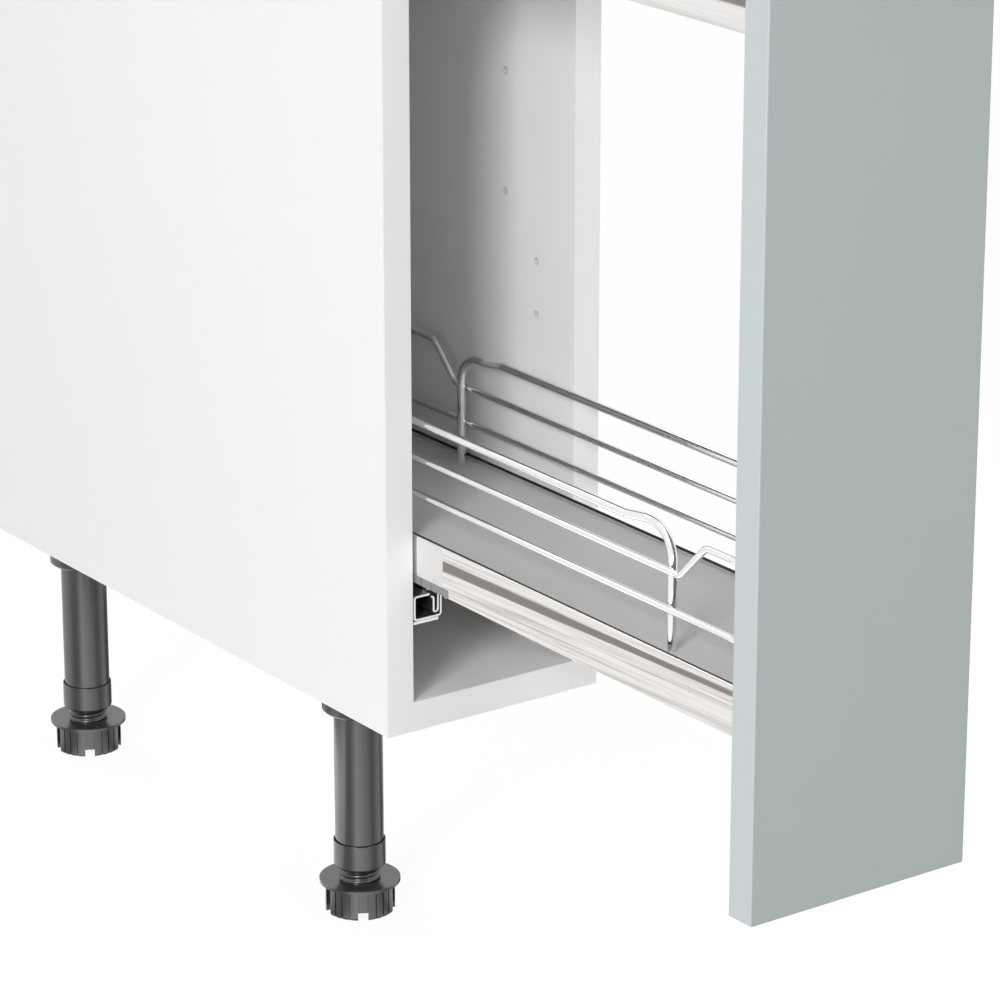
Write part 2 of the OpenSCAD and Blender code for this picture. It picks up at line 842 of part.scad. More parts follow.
// Trays
module tray_frame(level) {
    slot_w = door_plate_w + 2 * bracket_slot_gap;
    color("lightgray") in_tray(level) difference() {
        linear_extrude(height = skirt_side_h) rounded_plate(tray_w, tray_l, tray_r);
        translate([0, sheet_t, board_z]) linear_extrude(height = skirt_side_h)
            rounded_plate(tray_w - 2 * sheet_t, tray_l - 2 * sheet_t, tray_r - sheet_t);
        translate([0, sheet_t, -over]) linear_extrude(height = board_z - sheet_t + over)
            rounded_plate(tray_w - 2 * sheet_t, tray_l - 2 * sheet_t, tray_r - sheet_t);
        translate([0, sheet_t + lip_w, 0]) linear_extrude(height = skirt_side_h)
            rounded_plate(
                tray_w - 2 * sheet_t - 2 * lip_w,
                tray_l - 2 * sheet_t - 2 * lip_w,
                tray_r - sheet_t - lip_w
            );
        translate([-slot_w / 2, -over, -over])
            cube([slot_w, sheet_t + lip_w + 2 * over, board_z + over]);
        // Notches in the lower edges, which the catches fill
        for (side = SIDES) from_side(side)
            translate([tray_side_gap - over, catch_y - catch_play, -over])
                cube([sheet_t + 2 * over, catch_l + 2 * catch_play, catch_h + catch_play + over]);
        // Notches in the rear wall, which the middle profiles pass through
        for (side = SIDES) from_side(side)
            translate([inner_flange_x - notch_play, tray_l - tray_r, -over])
                cube([
                    neck_right - inner_flange_x + 2 * notch_play,
                    tray_r + over,
                    board_z - (profile_h - slide_t) / 2 + notch_play + over
                ]);
    }
}

module tray_board(level) {
    inset = sheet_t + board_play;
    color("silver") in_tray(level) translate([0, 0, board_z]) difference() {
        translate([0, inset, 0]) linear_extrude(height = tray_board_t)
            rounded_plate(tray_w - 2 * inset, tray_l - 2 * inset, tray_r - inset);
        for (side = SIDES, y = [post_end, tray_l - post_end])
            translate([side * post_x, y, -over])
                cylinder(d = post_d + 2 * fit, h = tray_board_t + 2 * over);
        for (side = SIDES, y = ear_ys) from_side(side)
            translate([tray_profile_right + ear_w / 2, runner_end_gap + y, -over])
                cylinder(d = ear_screw_d, h = ear_screw_l + over);
        for (y = tongue_screw_ys) translate([0, y - tray_door_gap, -over])
            cylinder(d = plate_screw_d, h = tongue_screw_l + over);
    }
}

module top_rod(level, side) {
    front = post_end;
    rear = tray_l - post_end;
    top = board_top + top_wire_z;
    jog = [rod_jog_start, rod_jog_start + rod_jog_l];
    foot_z = board_z + fit;
    color("silver") in_tray(level) scale([side, 1, 1]) bent_rod(
        [
            [post_x, front, foot_z], [post_x, front, top],
            [post_x, front + jog[0], top], [wire_x, front + jog[1], top],
            [wire_x, rear - jog[1], top], [post_x, rear - jog[0], top],
            [post_x, rear, top], [post_x, rear, foot_z]
        ],
        [0, post_bend_r, rod_jog_r, rod_jog_r, rod_jog_r, rod_jog_r, post_bend_r, 0],
        post_d, [1, 0, 0]
    );
}

module middle_wire(level) {
    low = board_top + mid_wire_z;
    high = board_top + top_wire_z;
    rise = high - low;
    near_post = [post_end - wire_rise_start, tray_l - post_end + wire_rise_start];
    past_post = [near_post[0] - rise, near_post[1] + rise];
    ends = [wire_inset, tray_l - wire_inset];
    color("silver") in_tray(level) bent_rod(
        [
            [-wire_x, ends[0], high], [-wire_x, past_post[0], high], [-wire_x, near_post[0], low],
            [-wire_x, near_post[1], low], [-wire_x, past_post[1], high], [-wire_x, ends[1], high],
            [wire_x, ends[1], high], [wire_x, past_post[1], high], [wire_x, near_post[1], low],
            [wire_x, near_post[0], low], [wire_x, past_post[0], high], [wire_x, ends[0], high]
        ],
        [
            wire_corner_r, wire_bend_r, wire_bend_r, wire_bend_r, wire_bend_r, wire_corner_r,
            wire_corner_r, wire_bend_r, wire_bend_r, wire_bend_r, wire_bend_r, wire_corner_r
        ],
        wire_d, [0, 0, 1], closed = true
    );
}

module low_wire(level) {
    z = board_top + low_wire_z;
    color("silver") in_tray(level) bent_rod(
        [
            [-wire_x, wire_inset, z], [-wire_x, tray_l - wire_inset, z],
            [wire_x, tray_l - wire_inset, z], [wire_x, wire_inset, z]
        ],
        [wire_corner_r, wire_corner_r, wire_corner_r, wire_corner_r],
        wire_d, [0, 0, 1], closed = true
    );
}

// Door
handle_z = door_bottom_gap + door_h - handle_drop;

module handle_screw_places() {
    for (z = [handle_z, handle_z - handle_pitch]) translate([0, 0, z]) children();
}

// Screw places of a tray's bracket on the door's back
module plate_screw_places(level) {
    for (x = [-plate_screw_side, plate_screw_side], drop = plate_screw_drops)
        translate([x, 0, tray_z + board_z + level_z(level) - drop]) children();
}

module door() {
    color("darkseagreen") on_door() difference() {
        translate([-door_w / 2, -door_t, door_bottom_gap]) cube([door_w, door_t, door_h]);
        handle_screw_places() rotate([90, 0, 0]) translate([0, 0, -over])
            cylinder(d = handle_screw_d + 2 * fit, h = door_t + 2 * over);
        for (level = LEVELS) plate_screw_places(level) rotate([90, 0, 0])
            translate([0, 0, -over]) cylinder(d = plate_screw_d, h = plate_screw_l - door_plate_t + over);
    }
}

module door_bracket(level) {
    color("silver") on_door() translate([0, 0, tray_z + board_z + level_z(level)]) difference() {
        union() {
            translate([-door_plate_w / 2, 0, -door_plate_drop])
                cube([door_plate_w, door_plate_t, door_plate_drop]);
            translate([-door_plate_w / 2, 0, -door_plate_t])
                cube([door_plate_w, door_tongue_l, door_plate_t]);
        }
        for (y = tongue_screw_ys) translate([0, y, -door_plate_t - over])
            cylinder(d = plate_screw_d + 2 * fit, h = door_plate_t + 2 * over);
        for (x = [-plate_screw_side, plate_screw_side], drop = plate_screw_drops)
            translate([x, -over, -drop]) rotate([-90, 0, 0])
                cylinder(d = plate_screw_d + 2 * fit, h = door_plate_t + 2 * over);
    }
}

module door_bracket_screws() {
    color("silver") on_door() for (level = LEVELS) {
        plate_screw_places(level) translate([0, door_plate_t, 0]) rotate([90, 0, 0])
            screw(plate_screw_d - 2 * fit, plate_screw_l - fit, plate_screw_head_d, plate_screw_head_h);
        for (y = tongue_screw_ys)
            translate([0, y, tray_z + board_z + level_z(level) - door_plate_t])
                screw(
                    plate_screw_d - 2 * fit,
                    tongue_screw_l + door_plate_t - fit,
                    plate_screw_head_d,
                    plate_screw_head_h
                );
    }
}

module door_bumpers() {
    x = (inner_w + board_t) / 2;
    color("gainsboro") on_door() for (side = SIDES, z = [bumper_from_end, door_h - bumper_from_end])
        translate([side * x, 0, door_bottom_gap + z]) rotate([-90, 0, 0])
            cylinder(d = bumper_d, h = bumper_h);
}

module bar_handle() {
    bar_l = handle_pitch + 2 * handle_end;
    color("silver") on_door() translate([0, -door_t, 0]) difference() {
        union() {
            translate([0, -handle_reach, handle_z - handle_pitch - handle_end])
                cylinder(d = handle_bar_d, h = bar_l);
            handle_screw_places() rotate([90, 0, 0]) cylinder(d = handle_post_d, h = handle_reach);
        }
        handle_screw_places() rotate([90, 0, 0]) translate([0, 0, -over])
            cylinder(d = handle_screw_d, h = handle_screw_depth + over);
    }
}

module handle_screws() {
    color("silver") on_door() handle_screw_places() rotate([90, 0, 0])
        screw(
            handle_screw_d - 2 * fit,
            door_t + handle_screw_depth - over,
            handle_screw_head_d,
            handle_screw_head_h
        );
}

side_panel(LEFT);  // side_panel_left
side_panel(RIGHT);  // side_panel_right
bottom_panel();
back_panel();
top_rail_front();
top_rail_rear();
wood_dowels();
cam_bolts();
cam_discs();
leg_socket(0);  // leg_socket_front
leg_socket(1);  // leg_socket_rear
leg_socket_screws();
leg_tube(0);  // leg_tube_front
leg_tube(1);  // leg_tube_rear
leg_collar(0);  // leg_collar_front
leg_collar(1);  // leg_collar_rear
foot(0);  // foot_front
foot(1);  // foot_rear
fixed_profile(LOWER, LEFT);  // fixed_profile_lower_left
fixed_profile(LOWER, RIGHT);  // fixed_profile_lower_right
fixed_profile(UPPER, LEFT);  // fixed_profile_upper_left
fixed_profile(UPPER, RIGHT);  // fixed_profile_upper_right
runner_brackets();
runner_screws();
middle_profile(LOWER, LEFT);  // middle_profile_lower_left
middle_profile(LOWER, RIGHT);  // middle_profile_lower_right
middle_profile(UPPER, LEFT);  // middle_profile_upper_left
middle_profile(UPPER, RIGHT);  // middle_profile_upper_right
outer_cages();
outer_rollers();
inner_cages();
inner_rollers();
tray_profile(LOWER, LEFT);  // tray_profile_lower_left
tray_profile(LOWER, RIGHT);  // tray_profile_lower_right
tray_profile(UPPER, LEFT);  // tray_profile_upper_left
tray_profile(UPPER, RIGHT);  // tray_profile_upper_right
tray_profile_screws();
tray_catches();
tray_frame(LOWER);  // tray_frame_lower
tray_frame(UPPER);  // tray_frame_upper
tray_board(LOWER);  // tray_board_lower
tray_board(UPPER);  // tray_board_upper
top_rod(LOWER, LEFT);  // top_rod_lower_left
top_rod(LOWER, RIGHT);  // top_rod_lower_right
top_rod(UPPER, LEFT);  // top_rod_upper_left
top_rod(UPPER, RIGHT);  // top_rod_upper_right
middle_wire(LOWER);  // middle_wire_lower
middle_wire(UPPER);  // middle_wire_upper
low_wire(LOWER);  // low_wire_lower
low_wire(UPPER);  // low_wire_upper
door();
door_bracket(LOWER);  // door_bracket_lower
door_bracket(UPPER);  // door_bracket_upper
door_bracket_screws();
door_bumpers();
bar_handle();
handle_screws();
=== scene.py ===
"""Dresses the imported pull-out base cabinet: rounded boards, bent chrome galleries,
rolled runners, screw feet and a soft studio. Run as a script, it builds everything."""

import math

import bmesh
import bpy
from bpy.props import FloatProperty, FloatVectorProperty, IntProperty, PointerProperty
from bpy.types import Operator, Panel, PropertyGroup
from mathutils import Euler, Matrix, Vector


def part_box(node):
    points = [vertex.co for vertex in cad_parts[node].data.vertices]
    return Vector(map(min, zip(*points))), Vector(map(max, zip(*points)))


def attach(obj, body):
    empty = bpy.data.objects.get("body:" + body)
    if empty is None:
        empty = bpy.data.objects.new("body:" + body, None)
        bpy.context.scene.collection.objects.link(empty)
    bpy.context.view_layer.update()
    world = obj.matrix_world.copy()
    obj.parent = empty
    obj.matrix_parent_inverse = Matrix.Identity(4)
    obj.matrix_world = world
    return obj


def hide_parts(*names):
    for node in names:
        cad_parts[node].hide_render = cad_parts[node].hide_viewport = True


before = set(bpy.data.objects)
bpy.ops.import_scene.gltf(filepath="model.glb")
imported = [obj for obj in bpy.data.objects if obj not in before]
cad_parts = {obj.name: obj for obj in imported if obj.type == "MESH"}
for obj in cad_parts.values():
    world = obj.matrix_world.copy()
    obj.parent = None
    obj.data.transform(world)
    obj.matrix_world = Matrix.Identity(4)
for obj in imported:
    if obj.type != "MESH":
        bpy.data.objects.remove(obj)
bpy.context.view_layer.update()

bl_info = {
    "name": "Pull-out base cabinet",
    "version": (1, 0, 0),
    "blender": (4, 5, 0),
    "location": "View3D > Sidebar > Cabinet",
    "description": "Builds the visible pieces of a narrow pull-out base cabinet around its frame",
    "category": "Object",
}

LEVELS = ("lower", "upper")
SIDES = {"left": -1, "right": 1}
MM, MICRON = 0.001, 0.000001
MERGE = 2e-6
FLAT_ANGLE = math.radians(0.6)
SHARP_ANGLE = math.radians(32)
NODE_PREFIX = {"GeometryNodeTree": "GeometryNode", "ShaderNodeTree": "ShaderNode"}
WHITE = (1.0, 1.0, 1.0, 1.0)


# Sizes and colours that a user would change


def length(name, description, millimetres, low=0.0, high=1000.0):
    return FloatProperty(
        name=name, description=description, default=millimetres * MM,
        min=low * MM, max=high * MM, precision=5, unit="LENGTH")


def colour(name, description, value):
    return FloatVectorProperty(
        name=name, description=description, default=value,
        size=3, min=0.0, max=1.0, subtype="COLOR")


def power(name, description, watts):
    return FloatProperty(
        name=name, description=description, default=watts, min=0, subtype="POWER")


def angle(name, description, radians):
    return FloatProperty(name=name, description=description, default=radians, subtype="ANGLE")


class CabinetFinishes(PropertyGroup):
    """Colours of the cabinet's finishes; the door's lit and shaded colours and the tray bead are
    painted light and shade
    """

    board: colour("Board", "Colour of the white board facing", (0.876, 0.876, 0.872))
    strip: colour("Edge strip", "Colour of the strip on the front edges", (0.862, 0.856, 0.85))
    # The door is one lacquer in two copies: its edges painted lighter as painted light, its faces
    # darker as painted shade
    door_face: colour("Door face", "Colour of the door's two faces", (0.367, 0.412, 0.41))
    door_edge: colour("Door edge", "Colour of the door's edges", (0.515, 0.569, 0.58))
    tray_board: colour("Tray board", "Colour of the laminate in the trays", (0.62, 0.61, 0.613))
    chrome: colour("Chrome", "Tint of the bright plated steel", (0.9, 0.893, 0.885))
    zinc: colour("Zinc", "Tint of the zinc plated steel", (0.86, 0.855, 0.85))
    leg: colour("Leg plastic", "Colour of the legs", (0.021, 0.0205, 0.02))
    catch: colour("Catch plastic", "Colour of the catches and roller cages", (0.27, 0.265, 0.262))
    # Near-black bead round each tray board: painted shade for the gap line between board and
    # skirt
    seal: colour("Seal", "Colour of the seal round each tray board", (0.012, 0.012, 0.013))


class CabinetSizes(PropertyGroup):
    """Sizes of the detail that is added to the frame"""

    board_round: length("Board edge radius", "Rounding of the boards' edges", 0.35, 0.05, 1.0)
    strip_depth: length("Edge strip", "Thickness of the strip on front edges", 0.8, 0.3, 2.0)
    door_round: length("Door edge radius", "Rounding of the door's edges", 1.0, 0.1, 3.0)
    rod: length("Top rod", "Diameter of the top rods and posts", 5.0, 3.0, 8.0)
    wire: length("Wire", "Diameter of the gallery wires", 4.0, 2.0, 6.0)
    post_from_end: length("Post place", "Post's distance from the tray's end", 80.5, 60, 120)
    post_inset: length("Post inset", "Post's distance inside the skirt's outer face", 10, 8, 14)
    wire_inset: length("Wire inset", "Wire's distance inside the skirt's outer face", 5.5, 4, 9)
    low_wire: length("Lower wire", "Height of the lower wire over the board", 25.2, 15, 35)
    mid_wire: length("Middle wire", "Height of the middle wire over the board", 46.8, 36, 56)
    top_rod: length("Top rod height", "Height of the top rod over the board", 68.7, 58, 80)
    pitch: length("Thread pitch", "Pitch of the foot screws", 4.0, 2.0, 6.0)
    rod_steps: IntProperty(
        name="Rod facets", description="Facets round a rod", default=28, min=8, max=64)
    bend_steps: IntProperty(
        name="Bend steps", description="Steps in each bend", default=12, min=3, max=32)


class CabinetStudio(PropertyGroup):
    """Light and camera"""

    ambient: FloatProperty(
        name="Ambient", description="Strength of the even light", default=0.38, min=0, max=2)
    key: power("Key", "Power of the left front light", 77)
    front: power("Front", "Power of the right front light", 28)
    top: power("Top", "Power of the light above the cabinet", 20)
    rear: power("Rear", "Power of the light behind the cabinet", 40)
    lens: FloatProperty(
        name="Lens", description="Focal length of the camera", default=158.986, min=20,
        unit="CAMERA")
    eye: FloatVectorProperty(
        name="Eye", description="Place of the camera", size=3,
        default=(-1.4015, -2.0517, 1.1337), subtype="TRANSLATION")
    yaw: angle("Yaw", "Turn of the view from the depth axis to the right", 0.62373)
    tilt: angle("Tilt", "Angle of the view below the horizon", 0.33094)


def finishes():
    return bpy.context.scene.cabinet_finishes


def sizes():
    return bpy.context.scene.cabinet_sizes


# Mesh helpers


def put(data, name):
    """Links data, or the mesh of a bmesh that is then freed, as an object at the origin."""
    if isinstance(data, bmesh.types.BMesh):
        shape, data = data, bpy.data.meshes.new(name)
        shape.to_mesh(data)
        shape.free()
    made = bpy.data.objects.new(name, data)
    bpy.context.scene.collection.objects.link(made)
    return made


def shade(piece, sharp=SHARP_ANGLE):
    mesh = piece.data
    mesh.polygons.foreach_set("use_smooth", [True] * len(mesh.polygons))
    mesh.set_sharp_from_angle(angle=sharp)


def settle(piece):
    """Replaces a piece's mesh by its evaluated one, and drops its modifiers."""
    graph = bpy.context.evaluated_depsgraph_get()
    mesh = bpy.data.meshes.new_from_object(piece.evaluated_get(graph))
    mesh.name = piece.name
    piece.modifiers.clear()
    piece.data = mesh
    return piece


def assign(piece, replaced, body, slot, *finish_names):
    """Gives a finished piece its materials, its body and the CAD node it replaces."""
    for name in finish_names:
        piece.data.materials.append(finish_named(name))
    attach(piece, body)
    if replaced:
        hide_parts(replaced)


def flat_faces(piece, sharp=SHARP_ANGLE):
    """Shades a piece smooth up to an angle, with big faces flat beside small ones."""
    shade(piece, sharp)
    weights = piece.modifiers.new("Flat faces", "WEIGHTED_NORMAL")
    weights.mode = "FACE_AREA"
    weights.keep_sharp = True
    return piece


def rounded(piece, width, segments=2):
    """Rounds a piece's edges with a bevel whose big faces stay flat."""
    bevel = piece.modifiers.new("Rounded edges", "BEVEL")
    bevel.width, bevel.segments = width, segments
    bevel.limit_method, bevel.angle_limit = "ANGLE", SHARP_ANGLE
    bevel.use_clamp_overlap, bevel.loop_slide = True, False
    return flat_faces(piece, math.pi)


def merge(shape):
    bmesh.ops.remove_doubles(shape, verts=shape.verts, dist=MERGE)
    bmesh.ops.dissolve_degenerate(shape, dist=MERGE, edges=shape.edges)


def clean_shape(name, split=False):
    """A merged bmesh of a CAD node, with its flat faces made whole, or split again."""
    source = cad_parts[name].data
    shape = bmesh.new()
    corners = [shape.verts.new(v.co) for v in source.vertices]
    for face in source.polygons:
        try:
            shape.faces.new([corners[i] for i in face.vertices])
        except ValueError:  # a second face on the same corners
            continue
    merge(shape)
    bmesh.ops.dissolve_limit(
        shape, angle_limit=FLAT_ANGLE, verts=shape.verts, edges=shape.edges)
    if split:
        bmesh.ops.triangulate(shape, faces=[f for f in shape.faces if len(f.verts) > 4])
    return shape


def dress(name, width, body, slot, finish_name, segments=2):
    """Stands a copy of a CAD node with small rounded edges in the node's place."""
    piece = rounded(put(clean_shape(name), name + "_soft"), width, segments)
    assign(piece, name, body, slot, finish_name)


def cut_off(shape, place, axis):
    """Cuts away what lies on the far side of a plane, and closes the cut."""
    found = bmesh.ops.bisect_plane(
        shape, geom=shape.verts[:] + shape.edges[:] + shape.faces[:], dist=MERGE,
        plane_co=place, plane_no=axis, clear_outer=True)
    rim = [e for e in found["geom_cut"] if isinstance(e, bmesh.types.BMEdge)]
    bmesh.ops.holes_fill(shape, edges=rim, sides=0)
    return shape


def add_block(shape, low, high, material_index=0):
    made = bmesh.ops.create_cube(shape, size=1.0)["verts"]
    low, high = Vector(low), Vector(high)
    span = high - low
    for vert in made:
        vert.co = Vector((low[i] + (vert.co[i] + 0.5) * span[i]) for i in range(3))
    for face in {f for v in made for f in v.link_faces}:
        face.material_index = material_index


def outward(shape):
    bmesh.ops.recalc_face_normals(shape, faces=shape.faces)
    return shape


def solids_of(name):
    """Lowest and highest corner of each separate solid of a CAD node."""
    shape = bmesh.new()
    shape.from_mesh(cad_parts[name].data)
    bmesh.ops.remove_doubles(shape, verts=shape.verts, dist=MERGE)
    left, boxes = set(shape.verts), []
    while left:
        reached, front = set(), {left.pop()}
        while front:
            vert = front.pop()
            reached.add(vert)
            front |= {e.other_vert(vert) for e in vert.link_edges} - reached
        left -= reached
        axes = list(zip(*[v.co for v in reached]))
        boxes.append((Vector(map(min, axes)), Vector(map(max, axes))))
    shape.free()
    return sorted(boxes, key=lambda b: [round(c, 5) for c in b[0]])


def ring_point(radius, share, height):
    return (radius * math.cos(math.tau * share), radius * math.sin(math.tau * share), height)


def joined(shape, loops, closed=True):
    """Adds the walls between closed loops of corners, where a loop may be one point."""
    for first, second in zip(loops, loops[1:] + (loops[:1] if closed else [])):
        count = max(len(first), len(second))
        for i in range(count):
            j = (i + 1) % count
            corners = list(dict.fromkeys([
                first[i % len(first)], first[j % len(first)],
                second[j % len(second)], second[i % len(second)]]))
            if len(corners) > 2:
                shape.faces.new(corners)
    return outward(shape)


def turned(outline, steps=64, closed=True):
    """A lathe shape round Z from points of radius and height."""
    shape = bmesh.new()
    return joined(shape, [
        [shape.verts.new(ring_point(radius, i / steps, height))
         for i in range(steps if radius else 1)]
        for radius, height in outline], closed)


def dome(radius, height, rim, degrees):
    """Outline points of a dome that stands on a rim at a share of its height."""
    return [(radius * math.sin(t), height * (rim + (1 - rim) * math.cos(t)))
            for t in map(math.radians, degrees)]


def arc(centre, radius, start, end, steps=5):
    """Points on an arc in degrees, for a lathe outline or a section."""
    turns = [math.radians(start + (end - start) * i / steps) for i in range(steps + 1)]
    return [(centre[0] + radius * math.cos(t), centre[1] + radius * math.sin(t))
            for t in turns]


def bend_line(points, radius, steps=6):
    """Rounds the inner corners of a flat open line."""
    points = [Vector(p) for p in points]
    done = [points[0]]
    for before, at, after in zip(points, points[1:], points[2:]):
        a, b = (at - before).normalized(), (after - at).normalized()
        turn = a.angle(b)
        cut = radius * math.tan(turn / 2)
        side = 1 if a.cross(b) > 0 else -1
        inward = Vector((-a.y, a.x)) * side
        centre = at - a * cut + inward * radius
        for i in range(steps + 1):
            t = turn * i / steps
            done.append(centre + a * radius * math.sin(t) - inward * radius * math.cos(t))
    done.append(points[-1])
    return done


def rolled(shape, place, corners, radius, sheet, start, end, inner=0, soft=0.25 * MM):
    """Adds bent sheet, drawn along Y, whose middle follows flat corners in x and z.

    The wall on the side inner, -1 or 1, takes the piece's second material; on the runner profiles
    that is dark zinc, painted shade.
    """
    line = bend_line(corners, radius)
    for at, before in ((0, 1), (len(line) - 1, len(line) - 2)):
        step = (line[before] - line[at]).normalized() * soft
        line.insert(max(at, 1), line[at] + step)
    last = len(line) - 1
    rows = [(start, soft), (start + soft, 0.0), (end - soft, 0.0), (end, soft)]
    ends = len(rows) - 1
    grid = {}
    for i, at in enumerate(line):
        ahead = line[min(i + 1, last)] - line[max(i - 1, 0)]
        across = Vector((-ahead.y, ahead.x)).normalized()
        thin = soft if i in (0, last) else 0.0
        for j, (y, inset) in enumerate(rows):
            half = sheet / 2 - max(thin, inset)
            for side in (-1, 1):
                x, z = at + across * half * side
                grid[i, j, side] = shape.verts.new(place(x, y, z))
    for i in range(last):
        for j in range(ends):
            for side in (-1, 1):
                wall = shape.faces.new([grid[i + a, j + b, side]
                                        for a, b in ((0, 0), (1, 0), (1, 1), (0, 1))])
                wall.material_index = int(side == inner)
        for j in (0, ends):
            shape.faces.new([grid[i, j, -1], grid[i + 1, j, -1],
                             grid[i + 1, j, 1], grid[i, j, 1]])
    for j in range(ends):
        for i in (0, last):
            shape.faces.new([grid[i, j, -1], grid[i, j + 1, -1],
                             grid[i, j + 1, 1], grid[i, j, 1]])


def rounded_loop(low, high, radius, inset, z, steps):
    """Points of a rounded rectangle that lies inset inside two corners."""
    x0, y0 = low[0] + inset, low[1] + inset
    x1, y1 = high[0] - inset, high[1] - inset
    r = max(radius - inset, 0.5 * MM)
    points = []
    for cx, cy, start in ((x1 - r, y0 + r, -90), (x1 - r, y1 - r, 0),
                          (x0 + r, y1 - r, 90), (x0 + r, y0 + r, 180)):
        points += [(x, y, z) for x, y in arc((cx, cy), r, start, start + 90, steps)]
    return points


def skirted(low, high, radius, section, steps=12):
    """Sweeps a closed section of inset and height round a rounded rectangle."""
    shape = bmesh.new()
    return joined(shape, [
        [shape.verts.new(p) for p in rounded_loop(low, high, radius, inset, z, steps)]
        for inset, z in section])


def carve(piece, blocks):
    """Cuts blocks, given by two corners each, out of a piece."""
    for low, high in blocks:
        shape = bmesh.new()
        add_block(shape, low, high)
        cutter = put(shape, "cutter")
        cut = piece.modifiers.new("Cut", "BOOLEAN")
        cut.operation, cut.solver, cut.object = "DIFFERENCE", "EXACT", cutter
        settle(piece)
        bpy.data.objects.remove(cutter)


# Node trees


def new_group(kind, name, inputs, outputs):
    """A node group with named sockets, given as (name, kind) or (name, kind, default)."""
    group = bpy.data.node_groups.new(name, kind)
    for direction, sockets in (("INPUT", inputs), ("OUTPUT", outputs)):
        for label, socket_kind, *default in sockets:
            socket = group.interface.new_socket(
                name=label, in_out=direction, socket_type="NodeSocket" + socket_kind)
            if default:
                socket.default_value = default[0]
    return group, group.nodes.new("NodeGroupInput").outputs


def node(tree, kind, *inputs, **named):
    """Adds a node, whose kind is written without the usual prefix.

    An input is a socket, a node whose first output is meant, or a value. Inputs come in
    their order, or by capitalised name; the other names are the node's own settings.
    """
    made = tree.nodes.new(kind if "Node" in kind else NODE_PREFIX[tree.bl_idname] + kind)
    links = [(i, value) for i, value in enumerate(inputs) if value is not None]
    for key, value in named.items():
        if key[0].isupper():
            links.append((key.replace("_", " "), value))
        else:
            setattr(made, key, value)
    for key, value in links:
        if isinstance(value, bpy.types.Node):
            value = value.outputs[0]
        if isinstance(value, bpy.types.NodeSocket):
            tree.links.new(value, made.inputs[key])
        else:
            made.inputs[key].default_value = value
    return made


def plain_end(tree, shape, given):
    """Ends a geometry tree in realized geometry of one material."""
    tree.is_modifier = True
    whole = node(tree, "RealizeInstances", shape)
    finish = node(tree, "SetMaterial", Geometry=whole, Material=given["Material"])
    node(tree, "NodeGroupOutput", finish)
    return tree


def rod_tree():
    """Sweeps a round rod along an edge path whose points hold their bend radius."""
    tree, given = new_group(
        "GeometryNodeTree", "Bent rod",
        [("Geometry", "Geometry"), ("Diameter", "Float", 0.005), ("Facets", "Int", 28),
         ("Bend steps", "Int", 12), ("Material", "Material")], [("Geometry", "Geometry")])
    radius = node(tree, "InputNamedAttribute", Name="bend_radius", data_type="FLOAT")
    path = node(tree, "MeshToCurve", given["Geometry"])
    bent = node(tree, "FilletCurve", Curve=path, Radius=radius, Count=given["Bend steps"],
                Limit_Radius=True, mode="POLY")
    half = node(tree, "ShaderNodeMath", given["Diameter"], 0.5, operation="MULTIPLY")
    ring = node(tree, "CurvePrimitiveCircle", Resolution=given["Facets"], Radius=half,
                mode="RADIUS")
    swept = node(tree, "CurveToMesh", Curve=bent, Profile_Curve=ring, Fill_Caps=True)
    return plain_end(tree, node(tree, "SetShadeSmooth", swept), given)


def repeat_tree():
    """Places copies of one small part on points that hold their turn."""
    tree, given = new_group(
        "GeometryNodeTree", "Repeated part",
        [("Geometry", "Geometry"), ("Part", "Object"), ("Scale", "Float", 1.0),
         ("Material", "Material")], [("Geometry", "Geometry")])
    turn = node(tree, "InputNamedAttribute", Name="turn", data_type="FLOAT_VECTOR")
    part = node(tree, "ObjectInfo", Object=given["Part"])
    copies = node(tree, "InstanceOnPoints", Points=given["Geometry"],
                  Instance=part.outputs["Geometry"], Scale=given["Scale"],
                  Rotation=node(tree, "FunctionNodeEulerToRotation", turn))
    return plain_end(tree, copies, given)


def group_named(name):
    return bpy.data.node_groups.get(name) or GROUP_MAKERS[name]()


def grown(points, edges, name, attribute, kind, values, tree, **inputs):
    """Runs a tree on points that hold an attribute, and keeps the plain mesh it makes."""
    mesh = bpy.data.meshes.new(name)
    mesh.from_pydata(points, edges, [])
    held = mesh.attributes.new(attribute, kind, "POINT")
    held.data.foreach_set("value" if kind == "FLOAT" else "vector", values)
    host = put(mesh, name)
    modifier = host.modifiers.new(tree.name, "NODES")
    modifier.node_group = tree
    for item in tree.interface.items_tree:
        key = item.name.lower().replace(" ", "_")
        if item.in_out == "INPUT" and key in inputs:
            modifier[item.identifier] = inputs[key]
    return settle(host)


def rod(name, corners, radii, diameter, cyclic=False):
    """A bent chrome rod through corners, each with the radius of its bend."""
    lead = 0.6 * MM
    points, bends = [], []
    for i, (corner, radius) in enumerate(zip(corners, radii)):
        at = Vector(corner)
        if not radius:
            points.append(at)
            bends.append(0)
            continue
        before = (Vector(corners[i - 1]) - at).normalized()
        after = (Vector(corners[(i + 1) % len(corners)]) - at).normalized()
        reach = radius * math.tan((math.pi - before.angle(after)) / 2) + lead
        points += [at + before * reach, at, at + after * reach]
        bends += [0, radius, 0]
    last = len(points) - 1
    edges = [(i, i + 1) for i in range(last)] + ([(last, 0)] if cyclic else [])
    made = grown(
        points, edges, name, "bend_radius", "FLOAT", bends,
        group_named("Bent rod"), diameter=diameter, facets=sizes().rod_steps,
        bend_steps=sizes().bend_steps, material=finish_named("bright_chrome_rod"))
    shade(made, math.radians(60))
    return made


